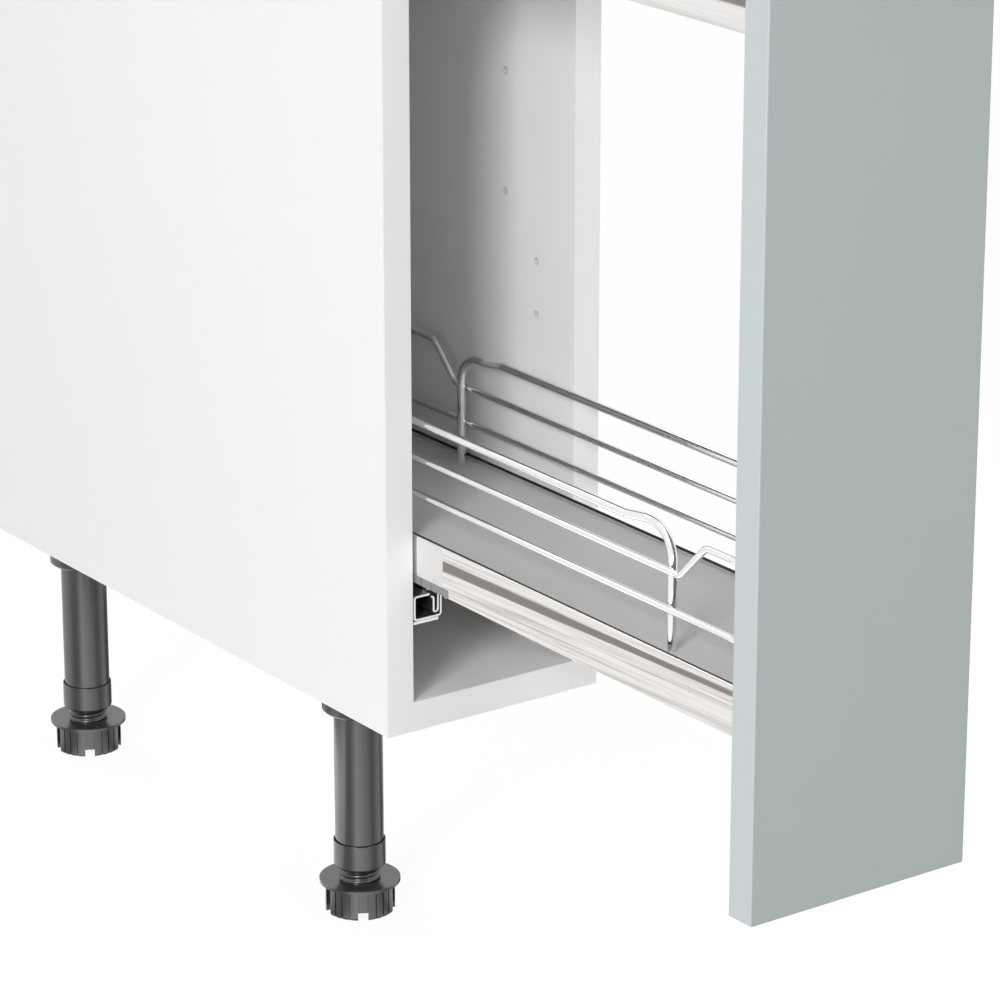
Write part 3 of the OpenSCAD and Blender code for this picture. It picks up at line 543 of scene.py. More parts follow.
def repeated(name, part, places, finish_name):
    """Copies of a part at places, given as (point, turn in degrees); frees the part."""
    turns = [math.radians(a) for _, angles in places for a in angles]
    made = grown(
        [p for p, _ in places], [], name, "turn", "FLOAT_VECTOR", turns,
        group_named("Repeated part"), part=part,
        material=finish_named(finish_name))
    bpy.data.objects.remove(part)
    return made


def blend(tree, share, first, second):
    """The socket of a mix of two colours."""
    return node(tree, "Mix", share, *[None] * 5, first, second, data_type="RGBA").outputs[2]


def noise(tree, place, scale, detail):
    return node(tree, "TexNoise", Vector=place, Scale=scale, Detail=detail)


def maths(tree, operation, first, second):
    return node(tree, "Math", first, second, operation=operation)


def tone_group():
    """Slow drift between two close colours, with a finer fleck."""
    group, given = new_group(
        "ShaderNodeTree", "Tone drift",
        [("Vector", "Vector"), ("Light", "Color"), ("Deep", "Color"),
         ("Scale", "Float", 6.0), ("Fleck scale", "Float", 900.0)],
        [("Color", "Color")])
    slow = noise(group, given["Vector"], given["Scale"], 3.0)
    fleck = noise(group, given["Vector"], given["Fleck scale"], 1.0)
    both = node(group, "Mix", 0.35, None, slow, fleck, data_type="FLOAT")
    spread = node(group, "MapRange", both, 0.32, 0.68)
    node(group, "NodeGroupOutput", blend(group, spread, given["Light"], given["Deep"]))
    return group


def grain_group():
    """Fine grain that can be stretched: a height and a roughness that follow it."""
    group, given = new_group(
        "ShaderNodeTree", "Fine grain",
        [("Vector", "Vector"), ("Stretch", "Vector", (1.0, 1.0, 1.0)),
         ("Scale", "Float", 900.0), ("Smooth", "Float", 0.3), ("Rough", "Float", 0.4)],
        [("Height", "Float"), ("Roughness", "Float")])
    scaled = node(group, "VectorMath", given["Vector"], given["Stretch"],
                  operation="MULTIPLY")
    fine = noise(group, scaled, given["Scale"], 3.0)
    broad = noise(group, scaled, 35.0, 2.0)
    both = node(group, "Mix", 0.4, None, fine, broad, data_type="FLOAT")
    rough = node(group, "MapRange", both, 0.3, 0.7, given["Smooth"], given["Rough"])
    node(group, "NodeGroupOutput", fine, rough)
    return group


def dust_group():
    """Faint settled dust on faces that look up, in a broken pattern."""
    group, given = new_group(
        "ShaderNodeTree", "Settled dust",
        [("Vector", "Vector"), ("Color", "Color"), ("Dust", "Color", (0.5, 0.48, 0.46, 1.0)),
         ("Amount", "Float", 0.1)],
        [("Color", "Color")])
    shape = group.nodes.new("ShaderNodeNewGeometry")
    axes = node(group, "SeparateXYZ", shape.outputs["Normal"])
    patches = noise(group, given["Vector"], 60.0, 4.0)
    upward = node(group, "MapRange", axes.outputs["Z"], 0.4, 1.0)
    amount = maths(group, "MULTIPLY", upward, given["Amount"])
    broken = maths(group, "MULTIPLY", amount, patches)
    node(group, "NodeGroupOutput", blend(group, broken, given["Color"], given["Dust"]))
    return group


GROUP_MAKERS = {
    "Bent rod": rod_tree, "Repeated part": repeat_tree, "Tone drift": tone_group,
    "Fine grain": grain_group, "Settled dust": dust_group}


# Finishes


def surface(name, light, deep, drift, fleck, grain, smooth, rough, bump, strength,
            stretch=(1, 1, 1), dust=0.0, **constants):
    """A finish with drifting tone, fine grain, roughness that follows it and bump."""
    material = bpy.data.materials.new(name)
    material.use_nodes = True
    tree = material.node_tree
    shader = tree.nodes["Principled BSDF"]
    for key, value in constants.items():
        shader.inputs[key.replace("_", " ")].default_value = value
    place = tree.nodes.new("ShaderNodeTexCoord").outputs["Object"]
    tint = node(
        tree, "Group", node_tree=group_named("Tone drift"), Vector=place,
        Light=(*light, 1.0), Deep=(*[c * deep for c in light], 1.0), Scale=drift,
        Fleck_scale=fleck)
    if dust:
        tint = node(tree, "Group", node_tree=group_named("Settled dust"),
                    Vector=place, Color=tint, Amount=dust)
    tree.links.new(tint.outputs["Color"], shader.inputs["Base Color"])
    fine = node(
        tree, "Group", node_tree=group_named("Fine grain"), Vector=place,
        Stretch=stretch, Scale=grain, Smooth=smooth, Rough=rough)
    tree.links.new(fine.outputs["Roughness"], shader.inputs["Roughness"])
    if bump:
        relief = node(tree, "Bump", Strength=strength, Distance=bump * MICRON,
                      Height=fine.outputs["Height"])
        tree.links.new(relief.outputs[0], shader.inputs["Normal"])
    return material


# Each finish's colour, or its name among the cabinet's finishes; the share of it that the
# deeper tone has; the scales of its drift, fleck and grain; its least and most roughness;
# the depth of its bump in microns and the bump's strength; and what else it has
SATIN, METAL = {"Specular_IOR_Level": 0.35}, {"Metallic": 1.0}
FINISHES = {
    "white_board_facing": (
        "board", 0.985, 3, 1600, 1400, 0.42, 0.52, 30, 0.25, SATIN),
    "white_edge_strip": (
        "strip", 0.985, 6, 900, 700, 0.4, 0.5, 30, 0.2,
        {"stretch": (1, 1, 0.1), **SATIN}),
    "white_back_lacquer": ("board", 0.97, 9, 900, 500, 0.4, 0.55, 60, 0.3, SATIN),
    "beech_dowel": (
        (0.55, 0.37, 0.2), 0.7, 30, 900, 1500, 0.5, 0.7, 80, 0.5, {"stretch": (0.08, 1, 1)}),
    # Lit and shaded copies of the door's one lacquer: painted shade on the faces, painted light
    # on the edges
    "door_face_lacquer": (
        "door_face", 0.985, 2.5, 1200, 1100, 0.48, 0.58, 30, 0.25,
        {"Specular_IOR_Level": 0.3}),
    "door_edge_lacquer": (
        "door_edge", 0.985, 6, 900, 900, 0.45, 0.55, 30, 0.2,
        {"stretch": (1, 1, 0.15), "Specular_IOR_Level": 0.3}),
    "tray_board_laminate": (
        "tray_board", 0.985, 8, 2200, 1300, 0.44, 0.54, 20, 0.2, SATIN),
    "bright_chrome_rod": ("chrome", 0.98, 6, 900, 120, 0.015, 0.03, 0, 0.3, METAL),
    "bright_chrome_sheet": (
        "chrome", 0.98, 6, 900, 420, 0.006, 0.024, 4, 0.2,
        {"stretch": (1, 0.03, 1), **METAL}),
    "zinc_plate": (
        "zinc", 0.86, 90, 700, 650, 0.24, 0.4, 40, 0.35,
        {"stretch": (1, 0.2, 1), **METAL}),
    # Dark zinc for the inner walls of the rolled profiles: painted shade where their insides fall
    # dark
    "greased_zinc_inside": (
        (0.1, 0.098, 0.096), 0.7, 60, 900, 500, 0.3, 0.48, 30, 0.3, {"Metallic": 0.6}),
    "brushed_handle_steel": (
        (0.62, 0.615, 0.61), 0.88, 40, 900, 1800, 0.22, 0.36, 30, 0.5,
        {"stretch": (1, 1, 0.02), **METAL}),
    "dark_leg_plastic": (
        "leg", 0.8, 25, 900, 650, 0.17, 0.25, 20, 0.2,
        {"stretch": (1, 1, 0.05), "dust": 0.06, "Specular_IOR_Level": 1.0}),
    "catch_plastic": ("catch", 0.92, 6, 900, 800, 0.38, 0.5, 50, 0.3, {}),
    # Painted shade: the near-black bead stands for the shadow gap between board and skirt
    "tray_seal": ("seal", 0.7, 6, 900, 500, 0.16, 0.26, 30, 0.2, {}),
    "soft_bumper": (
        (0.7, 0.7, 0.69), 0.95, 6, 900, 600, 0.2, 0.32, 30, 0.3, {"Subsurface_Weight": 0.25}),
}


def finish_named(name):
    tint, *values, more = FINISHES[name]
    if isinstance(tint, str):
        tint = getattr(finishes(), tint)
    return bpy.data.materials.get(name) or surface(name, tint, *values, **more)


# Operators: one for each group of pieces


class CabinetPiece:
    """What all of the cabinet's operators share"""

    bl_options = {"REGISTER", "UNDO"}


class CABINET_OT_boards(CabinetPiece, Operator):
    """Builds the white boards with rounded edges and a strip on each front edge"""

    bl_idname = "cabinet.boards"
    bl_label = "Carcass boards"

    def execute(self, context):
        size, joint = sizes(), 0.04 * MM
        for name in ("side_panel_left", "side_panel_right", "bottom_panel", "top_rail_front"):
            low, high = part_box(name)
            seam = low.y + size.strip_depth
            shape = cut_off(clean_shape(name), (0, seam, 0), (0, -1, 0))
            add_block(shape, low, (high.x, seam - joint, high.z), 1)
            piece = rounded(put(shape, name + "_board"), size.board_round)
            assign(piece, name, "carcass", "white_board", "white_board_facing",
                   "white_edge_strip")
        dress("top_rail_rear", size.board_round, "carcass", "white_board",
              "white_board_facing")
        dress("back_panel", size.board_round, "carcass", "white_back", "white_back_lacquer")
        return {"FINISHED"}


class CABINET_OT_joinery(CabinetPiece, Operator):
    """Finishes the dowels and bolts inside the boards, and rounds the cam discs"""

    bl_idname = "cabinet.joinery"
    bl_label = "Joinery"

    def execute(self, context):
        for name, finish in (("wood_dowels", "beech_dowel"), ("cam_bolts", "zinc_plate")):
            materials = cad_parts[name].data.materials
            materials.clear()
            materials.append(finish_named(finish))
        dress("cam_discs", 0.2 * MM, "carcass", "zinc_steel", "zinc_plate")
        return {"FINISHED"}


def thread_shape(core, crest, pitch, low, high, steps=56, rows=10):
    """A screw thread as one continuous spiral skin, closed flat at both ends."""
    shape = bmesh.new()
    start = low - pitch
    neck = core * 0.98
    flank, crown = 0.8, 1.08  # steeper flanks and a narrow flat crest
    profile = []
    for row in range(rows):
        swell = 0.5 - 0.5 * math.cos(math.tau * row / rows)
        profile.append(core + (crest - core) * min(1.0, swell ** flank * crown))
    levels = []
    for level in range((int((high - low) / pitch) + 3) * rows + 1):
        ring = []
        for i in range(steps):
            z = start + pitch * (level / rows + i / steps)
            radius = profile[level % rows] if low <= z <= high else neck
            ring.append(shape.verts.new(
                ring_point(radius, i / steps, min(max(z, low), high))))
        levels.append(ring)
    last = steps - 1
    for level, (ring, above) in enumerate(zip(levels, levels[1:])):
        for i in range(last):
            shape.faces.new((ring[i], ring[i + 1], above[i + 1], above[i]))
        if level + 1 + rows < len(levels):
            shape.faces.new((ring[last], levels[level + rows][0],
                             levels[level + rows + 1][0], above[last]))
    merge(shape)
    bmesh.ops.holes_fill(
        shape, edges=[e for e in shape.edges if e.is_boundary], sides=0)
    return outward(shape)


class CABINET_OT_legs(CabinetPiece, Operator):
    """Builds sockets, tubes and collars, and feet with a cut skirt and a real thread"""

    bl_idname = "cabinet.legs"
    bl_label = "Screw feet"

    def execute(self, context):
        skirt, crest, depth = 20.7 * MM, 13.0 * MM, 1.35 * MM
        cut_below, thread_below = 0.02 * MM, 0.1 * MM
        slot, finish = "leg_plastic", "dark_leg_plastic"
        for end in ("front", "rear"):
            for part, width in (("leg_socket", 0.5), ("leg_tube", 0.25), ("leg_collar", 0.4)):
                dress(f"{part}_{end}", width * MM, "carcass", slot, finish, 3)
            name = f"foot_{end}"
            low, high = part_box(name)
            disc_top = low.z + skirt
            shape = cut_off(clean_shape(name, True), (0, 0, disc_top - cut_below), (0, 0, 1))
            piece = rounded(put(shape, name + "_skirt"), 0.3 * MM)
            assign(piece, name, f"{end}_foot", slot, finish)
            shape = thread_shape(
                crest - depth, crest, sizes().pitch, disc_top - thread_below, high.z)
            centre = ((low.x + high.x) / 2, (low.y + high.y) / 2, 0)
            bmesh.ops.translate(shape, verts=shape.verts, vec=centre)
            piece = put(shape, name + "_thread")
            shade(piece, math.radians(50))
            assign(piece, None, f"{end}_foot", slot, finish)
        return {"FINISHED"}


def runner_place(name, side):
    """Turns x from a panel's inner face, and y and z from a node's low corner, to a point."""
    low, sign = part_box(name)[0], SIDES[side]
    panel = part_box(f"side_panel_{side}")
    inner = panel[1].x if sign < 0 else panel[0].x
    return lambda x, y, z: (inner - sign * x, low.y + y, low.z + z)


class CABINET_OT_runners(CabinetPiece, Operator):
    """Builds the rolled profiles, brackets, roller cages, rollers and catches"""

    bl_idname = "cabinet.runners"
    bl_label = "Telescopic runners"

    # Middle lines of the bent sheets, across and up in millimetres
    fixed_line = [(13.0, 14.8), (2.6, 14.8), (2.6, 0.8), (20.8, 0.8), (20.8, 15.6)]
    hook_line = [(13.9, 12.9), (15.9, 12.9), (15.9, 3.3), (18.9, 3.3)]
    wall_line = [(18.9, 35.1), (12.0, 35.1)]
    web_line = [(7.0, 7.8), (15.6, 7.8)]
    tray_line = [(17.2, 0.7), (9.3, 0.7), (9.3, 14.9), (21.3, 14.9), (21.3, 0.0)]

    def execute(self, context):
        low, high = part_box("fixed_profile_lower_left")
        long = high.y - low.y
        nose, web_start = 14 * MM, 30 * MM
        hook = self.hook_line
        for where, side in ((f"{level}_{side}", side) for level in LEVELS for side in SIDES):
            name = f"fixed_profile_{where}"
            place = runner_place(name, side)
            self.profile(name, "carcass", place, [
                (self.fixed_line, 1.7, 1.6, 0.0, long, 1)])
            self.profile(f"middle_profile_{where}", f"middle_{where}", place, [
                (hook + [(18.9, 13.6)], 1.45, 1.4, 0.0, nose, 0),
                (hook + self.wall_line, 1.45, 1.4, nose, long, 0),
                (self.web_line, 1.0, 1.4, web_start, long, 0)])
            name = f"tray_profile_{where}"
            self.profile(name, "pull_out", runner_place(name, side), [
                (self.tray_line, 1.5, 1.4, 0.0, long, -1)], self.tabs(long))
        dress("runner_brackets", 0.15 * MM, "carcass", "zinc_steel", "zinc_plate")
        for kind in ("outer", "inner"):
            dress(f"{kind}_cages", 0.15 * MM, f"{kind}_cage_set", "grey_plastic",
                  "catch_plastic")
        for kind in ("outer", "inner"):
            self.rollers(f"{kind}_rollers", f"{kind}_cage_set")
        dress("tray_catches", 0.3 * MM, "pull_out", "grey_plastic", "catch_plastic")
        return {"FINISHED"}

    def tabs(self, long):
        """Two corners of each tab that joins a tray profile to its board."""
        width, across, rise = 22 * MM, (20.4 * MM, 34.0 * MM), (14.2 * MM, 15.58 * MM)
        starts = [min(middle * MM - width / 2, long - width) for middle in (40, 230, 420)]
        return [tuple(zip(across, (start, start + width), rise)) for start in starts]

    def profile(self, name, body, place, sheets, blocks=()):
        """Bends the sheets of one profile, each with painted shade in dark zinc on its side
        inner, -1 or 1.
        """
        shape = bmesh.new()
        for line, radius, thick, start, end, inner in sheets:
            rolled(shape, place, [(x * MM, z * MM) for x, z in line], radius * MM,
                   thick * MM, start, end, inner)
        for block in blocks:
            axes = list(zip(*[place(*corner) for corner in block]))
            add_block(shape, list(map(min, axes)), list(map(max, axes)))
        piece = flat_faces(put(outward(shape), name + "_rolled"), math.radians(50))
        # The inner walls take the dark zinc as painted shade
        painted_shade = ["greased_zinc_inside"] if inner else []
        assign(piece, name, body, "zinc_steel", "zinc_plate", *painted_shade)

    def rollers(self, name, body):
        boxes = solids_of(name)
        span = boxes[0][1] - boxes[0][0]
        r, half, bore, c = span.y / 2, span.x / 2, 1.2 * MM, 0.35 * MM
        part = put(turned([
            (bore, -half), (r - c, -half), (r, -half + c), (r, half - c), (r - c, half),
            (bore, half), (bore + c, half - c), (bore + c, -half + c)], 28), "roller")
        shade(part)
        places = [((lo + hi) / 2, (0, 90, 0)) for lo, hi in boxes]
        piece = repeated(name + "_turned", part, places, "zinc_plate")
        assign(piece, name, body, "zinc_steel", "zinc_plate")


class CABINET_OT_trays(CabinetPiece, Operator):
    """Builds the chrome skirts with their lips, the grey boards, and a near-black bead round each
    board that paints the shadow gap at its edge
    """

    bl_idname = "cabinet.trays"
    bl_label = "Trays"

    def execute(self, context):
        sheet, radius, fine = 1.0 * MM, 12.0 * MM, 0.12 * MM
        inner, half, past = sheet + 5 * MM, sheet / 2, 5 * MM
        for level in LEVELS:
            frame_node, board_node = f"tray_frame_{level}", f"tray_board_{level}"
            low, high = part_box(frame_node)
            floor_low, floor_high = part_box(board_node)
            h, lip = high.z, floor_low.z
            section = (
                arc((half, low.z + half), half, 270, 180, 4)
                + arc((half, h - half), half, 180, 0, 8)
                + [(sheet, lip + fine), (inner - fine, lip), (inner, lip - fine),
                   (inner, lip - sheet + fine), (inner - fine, lip - sheet),
                   (sheet, lip - sheet - fine)]
                + arc((half, low.z + half), half, 360, 270, 4)[:-1])
            piece = put(skirted(low, high, radius, section), frame_node + "_sheet")
            carve(piece, self.openings(low, high, lip, sheet, radius, past))
            assign(flat_faces(piece), frame_node, "pull_out", "chrome", "bright_chrome_sheet")
            dress(board_node, 0.25 * MM, "pull_out", "grey_board", "tray_board_laminate")
            # A near-black bead round the board's edge: painted shade for the gap between board
            # and skirt
            bead = [(0.02, 1.7), (0.02, 3.2), (0.25, 3.45), (0.8, 3.3), (1.1, 2.5), (0.7, 1.8)]
            section = [(sheet + x * MM, floor_high.z + z * MM) for x, z in bead]
            piece = put(skirted(low, high, radius, section), f"tray_seal_{level}")
            shade(piece, math.radians(70))
            assign(piece, None, "pull_out", "leg_plastic", "tray_seal")
        return {"FINISHED"}

    def openings(self, low, high, lip, sheet, radius, past):
        """Blocks to cut for the door bracket, the tray profiles and the catches."""
        bracket, bracket_reach, gap = 21 * MM, 7 * MM, 0.3 * MM
        profile, profile_top, catch_top = (36.4 * MM, 46.0 * MM), 12.2 * MM, 5.2 * MM
        cuts = [((-bracket, low.y - past, low.z - past),
                 (bracket, low.y + bracket_reach, lip - gap))]
        for side in SIDES.values():
            edges = sorted(side * x for x in profile)
            cuts.append(((edges[0], high.y - radius, low.z - past),
                         (edges[1], high.y + past, low.z + profile_top)))
        for lo, hi in solids_of("tray_catches"):
            if abs(lo.z - low.z) < radius:
                outer = low.x if lo.x < 0 else high.x - sheet
                cuts.append(((outer - sheet, lo.y - gap, low.z - radius),
                             (outer + 2 * sheet, hi.y + gap, low.z + catch_top)))
        return cuts


class CABINET_OT_galleries(CabinetPiece, Operator):
    """Bends the chrome rods and wires that rail each tray"""

    bl_idname = "cabinet.galleries"
    bl_label = "Tray galleries"

    def execute(self, context):
        size = sizes()
        jog_start, jog_end, hump = 23 * MM, 35 * MM, 12 * MM
        rod_bend, jog_bend, wire_bend, hump_bend = 18 * MM, 2.6 * MM, 20 * MM, 8 * MM
        for level in LEVELS:
            low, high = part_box(f"tray_frame_{level}")
            floor_low, floor_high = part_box(f"tray_board_{level}")
            top, foot = floor_high.z, floor_low.z + 0.1 * MM
            front, rear = low.y + size.post_from_end, high.y - size.post_from_end
            post_x, wire_x = high.x - size.post_inset, high.x - size.wire_inset
            rail = top + size.top_rod
            for side, sign in SIDES.items():
                x, jog = sign * post_x, sign * wire_x
                self.bend(f"top_rod_{level}_{side}", size.rod, [
                    (x, front, foot), (x, front, rail),
                    (x, front + jog_start, rail), (jog, front + jog_end, rail),
                    (jog, rear - jog_end, rail), (x, rear - jog_start, rail),
                    (x, rear, rail), (x, rear, foot)],
                    [0, rod_bend, *[jog_bend] * 4, rod_bend, 0])
            x, y0, y1 = wire_x, low.y + size.wire_inset, high.y - size.wire_inset
            z = top + size.low_wire
            self.bend(f"low_wire_{level}", size.wire, [
                (-x, y0, z), (-x, y1, z), (x, y1, z), (x, y0, z)], [wire_bend] * 4, True)
            z = top + size.mid_wire
            near, rise = (front - hump, rear + hump), rail - z
            half = [(y0, rail), (near[0] - rise, rail), (near[0], z), (near[1], z),
                    (near[1] + rise, rail), (y1, rail)]
            corners = [(-x, y, h) for y, h in half] + [(x, y, h) for y, h in half[::-1]]
            self.bend(f"middle_wire_{level}", size.wire, corners,
                      [wire_bend, *[hump_bend] * 4, wire_bend] * 2, True)
        return {"FINISHED"}

    def bend(self, name, diameter, corners, radii, cyclic=False):
        piece = rod(name + "_bent", corners, radii, diameter, cyclic)
        assign(piece, name, "pull_out", "chrome")


class CABINET_OT_door(CabinetPiece, Operator):
    """Builds the door slab, its bumpers and the brackets that carry the trays"""

    bl_idname = "cabinet.door"
    bl_label = "Door"

    def execute(self, context):
        shape = bmesh.new()
        add_block(shape, *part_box("door"))
        shape.normal_update()
        for face in shape.faces:
            # Faces across Y take the shaded copy of the lacquer and the edges the lit copy:
            # painted light and shade
            face.material_index = int(abs(face.normal.y) < 0.5)
        upright = [e for e in shape.edges if abs(e.verts[0].co.z - e.verts[1].co.z) > 0.5]
        bmesh.ops.subdivide_edges(shape, edges=upright, cuts=3)
        piece = rounded(put(shape, "door_slab"), sizes().door_round, 4)
        assign(piece, "door", "pull_out", "door_finish", "door_face_lacquer",
               "door_edge_lacquer")
        for level in LEVELS:
            dress(f"door_bracket_{level}", 0.35 * MM, "pull_out", "zinc_steel", "zinc_plate")
        boxes = solids_of("door_bumpers")
        span = boxes[0][1] - boxes[0][0]
        r, h = span.x / 2, span.y
        outline = [(0, h), *dome(r, h, 0.35, range(12, 91, 13)), (r, 0), (0, 0)]
        part = put(turned(outline, 32, closed=False), "bumper")
        shade(part, math.radians(60))
        places = [(((lo.x + hi.x) / 2, lo.y, (lo.z + hi.z) / 2), (-90, 0, 0))
                  for lo, hi in boxes]
        piece = repeated("door_bumpers_domed", part, places, "soft_bumper")
        assign(piece, "door_bumpers", "pull_out", "bumper_rubber")
        return {"FINISHED"}


class CABINET_OT_handle(CabinetPiece, Operator):
    """Builds the bar handle with its flared posts"""

    bl_idname = "cabinet.handle"
    bl_label = "Bar handle"

    def execute(self, context):
        low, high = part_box("bar_handle")
        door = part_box("door")[0]
        r = (high.x - low.x) / 2
        axis_y = low.y + r
        c, post, flare = 0.9 * MM, 4.5 * MM, 1.6 * MM
        shape = turned(
            [(0, low.z)] + arc((r - c, low.z + c), c, 270, 360, 5)
            + arc((r - c, high.z - c), c, 0, 90, 5) + [(0, high.z)], 64, closed=False)
        bmesh.ops.translate(shape, verts=shape.verts, vec=(0, axis_y, 0))
        reach = door.y - axis_y
        foot = arc((post + flare, flare), flare, 180, 270, 6)
        for lo, hi in solids_of("handle_screws"):
            leg = turned([(0, reach), (post, reach), *foot, (0, 0)], 48, closed=False)
            for vert in leg.verts:
                x, y, h = vert.co
                vert.co = (x, door.y - h, (lo.z + hi.z) / 2 + y)
            mesh = bpy.data.meshes.new("post")
            outward(leg).to_mesh(mesh)
            leg.free()
            shape.from_mesh(mesh)
            bpy.data.meshes.remove(mesh)
        assign(flat_faces(put(shape, "bar_handle_turned")), "bar_handle", "pull_out",
               "handle_steel", "brushed_handle_steel")
        return {"FINISHED"}


def cross_screw(head_d, head_h, shank_d, shank_l):
    """A pan head screw along Z: its head rests on z = 0 and its shank points up."""
    r, s = head_d / 2, shank_d / 2
    shoulder, tip = max(shank_l - shank_d, shank_l * 0.5), s * 0.3
    outline = [(0, -head_h), *dome(r, -head_h, 0.45, range(10, 91, 10)), (r, 0), (s, 0),
               (s, shoulder), (tip, shank_l), (0, shank_l)]
    part = put(turned(outline, 36, closed=False), "screw")
    arm, slot, above, depth = r * 0.55, r * 0.13, -head_h * 1.2, -head_h * 0.4
    carve(part, [((-x, -y, above), (x, y, depth)) for x, y in ((arm, slot), (slot, arm))])
    shade(part, math.radians(40))
    return part


class CABINET_OT_screws(CabinetPiece, Operator):
    """Places every screw at its place in the frame, each a little turned"""

    bl_idname = "cabinet.screws"
    bl_label = "Screws"

    def execute(self, context):
        turn_step, quarter = 37, 90
        # Node, body, the way the screws point, head height and shank in millimetres
        for name, body, aim, head_h, shank in (
                ("runner_screws", "carcass", "x", 1.6, 4.8),
                ("leg_socket_screws", "carcass", "z", 2.2, 3.8),
                ("tray_profile_screws", "pull_out", "z", 2.0, 3.8),
                ("door_bracket_screws", "pull_out", "door", 2.0, 3.8),
                ("handle_screws", "pull_out", "y", 2.4, 3.8)):
            head_h = head_h * MM
            groups = {}
            for low, high in solids_of(name):
                span, centre = high - low, (low + high) / 2
                if aim == "x":
                    sign = 1 if centre.x > 0 else -1
                    axis, end, turn = 0, low if sign > 0 else high, (0, 90 * sign, 0)
                elif aim == "z" or (aim == "door" and span.x > span.y - 1e-5):
                    axis, end, turn = 2, low, (0, 0, 0)
                else:
                    axis, end, turn = 1, high, (90, 0, 0)
                centre[axis] = end[axis]
                across = [span[i] for i in range(3) if i != axis]
                key = (round(max(across), 5), round(span[axis], 5))
                groups.setdefault(key, []).append((centre, turn))
            for count, ((head_d, whole), places) in enumerate(groups.items()):
                points = []
                for index, (head, turn) in enumerate(places):
                    aimed = Euler([math.radians(a) for a in turn]).to_matrix()
                    spin = Matrix.Rotation(
                        math.radians(turn_step * index % quarter), 3, "Z")
                    angles = [math.degrees(a) for a in (aimed @ spin).to_euler()]
                    points.append((head + aimed @ Vector((0, 0, head_h)), angles))
                part = cross_screw(head_d, head_h, shank * MM, whole - head_h)
                piece = repeated(f"{name}_crosshead_{count}", part, points, "zinc_plate")
                assign(piece, name, body, "zinc_steel")
        return {"FINISHED"}


# Studio


def shown_rays(tree):
    """One for rays of the camera, of gloss and of glass, and none for the others."""
    path = tree.nodes.new("ShaderNodeLightPath").outputs
    direct = maths(tree, "MAXIMUM", path["Is Camera Ray"], path["Is Glossy Ray"])
    return maths(tree, "MAXIMUM", direct, path["Is Transmission Ray"])


def floor_paint(tree):
    """White for the camera and for reflections, and still darkened by a soft shadow."""
    matt, pale = (node(tree, "BsdfDiffuse", (tone, tone, tone, 1.0)) for tone in (0.82, 0.9))
    glow = node(tree, "Emission", WHITE, 1.055)
    seen = node(tree, "MixShader", 0.86, pale, glow)
    return node(tree, "MixShader", shown_rays(tree), matt, seen)


def streak_paint(tree, slope, scales, dark, bright, near_edge, far_edge):
    """Painted reflection: a glowing sheet of warm streaks and one dark band, which only the
    bright sheet reflects.
    """
    place = tree.nodes.new("ShaderNodeTexCoord").outputs["Object"]

    def reach(x, y):
        found = node(tree, "VectorMath", place, (x, y, 0.0), operation="DOT_PRODUCT")
        return found.outputs["Value"]

    axes = node(tree, "SeparateXYZ", place)
    along = maths(tree, "MULTIPLY", axes.outputs["Y"], 0.02)
    lanes = node(tree, "CombineXYZ", reach(1.0, slope), along)
    broad, fine = noise(tree, lanes, scales[0], 2.0), noise(tree, lanes, scales[1], 3.0)
    both = node(tree, "Mix", 0.5, None, broad, fine, data_type="FLOAT")
    tones = node(tree, "ValToRGB", both)
    for stop, place_on, tone in zip(tones.color_ramp.elements, (0.34, 0.54), (dark, bright)):
        stop.position, stop.color = place_on, tone
    before, after, band_tone = 0.3 * MM, 0.5 * MM, (0.29, 0.27, 0.25, 1)
    inside = [
        node(tree, "MapRange", reach(sense, sense * tilt), sense * edge - before,
             sense * edge + after)
        for (tilt, edge), sense in ((far_edge, 1.0), (near_edge, -1.0))]
    band = maths(tree, "MULTIPLY", *inside)
    mixed = blend(tree, band, tones, band_tone)
    return node(tree, "Emission", mixed, 1.0)


def painted_leg_reflection(tree, y, tones):
    """Painted reflection for the legs: glowing tones of light and shadow that change with the
    direction round an upright line at depth y.
    """
    strength = 4.0
    place = tree.nodes.new("ShaderNodeTexCoord").outputs["Object"]
    axes = node(tree, "SeparateXYZ", place).outputs
    turn = maths(tree, "ARCTAN2", maths(tree, "SUBTRACT", axes["Y"], y), axes["X"])
    ramp = node(tree, "ValToRGB", node(tree, "MapRange", turn, -math.pi, math.pi))
    stops = ramp.color_ramp.elements
    stops.remove(stops[1])
    for i, (degrees, tone) in enumerate(tones):
        stop = stops[0] if i == 0 else stops.new(1.0)
        stop.position, stop.color = (degrees + 180) / 360, (*[tone / strength] * 3, 1)
    return node(tree, "Emission", ramp, strength)


def plate(name, low, high, z, paint, *values):
    """A level sheet with a material of its own."""
    mesh = bpy.data.meshes.new(name)
    corners = (low, (high[0], low[1]), high, (low[0], high[1]))
    mesh.from_pydata([(x, y, z) for x, y in corners], [], [(0, 1, 2, 3)])
    material = bpy.data.materials.new(name)
    material.use_nodes = True
    tree = material.node_tree
    tree.nodes.clear()
    node(tree, "OutputMaterial", paint(tree, *values))
    mesh.materials.append(material)
    return put(mesh, name)


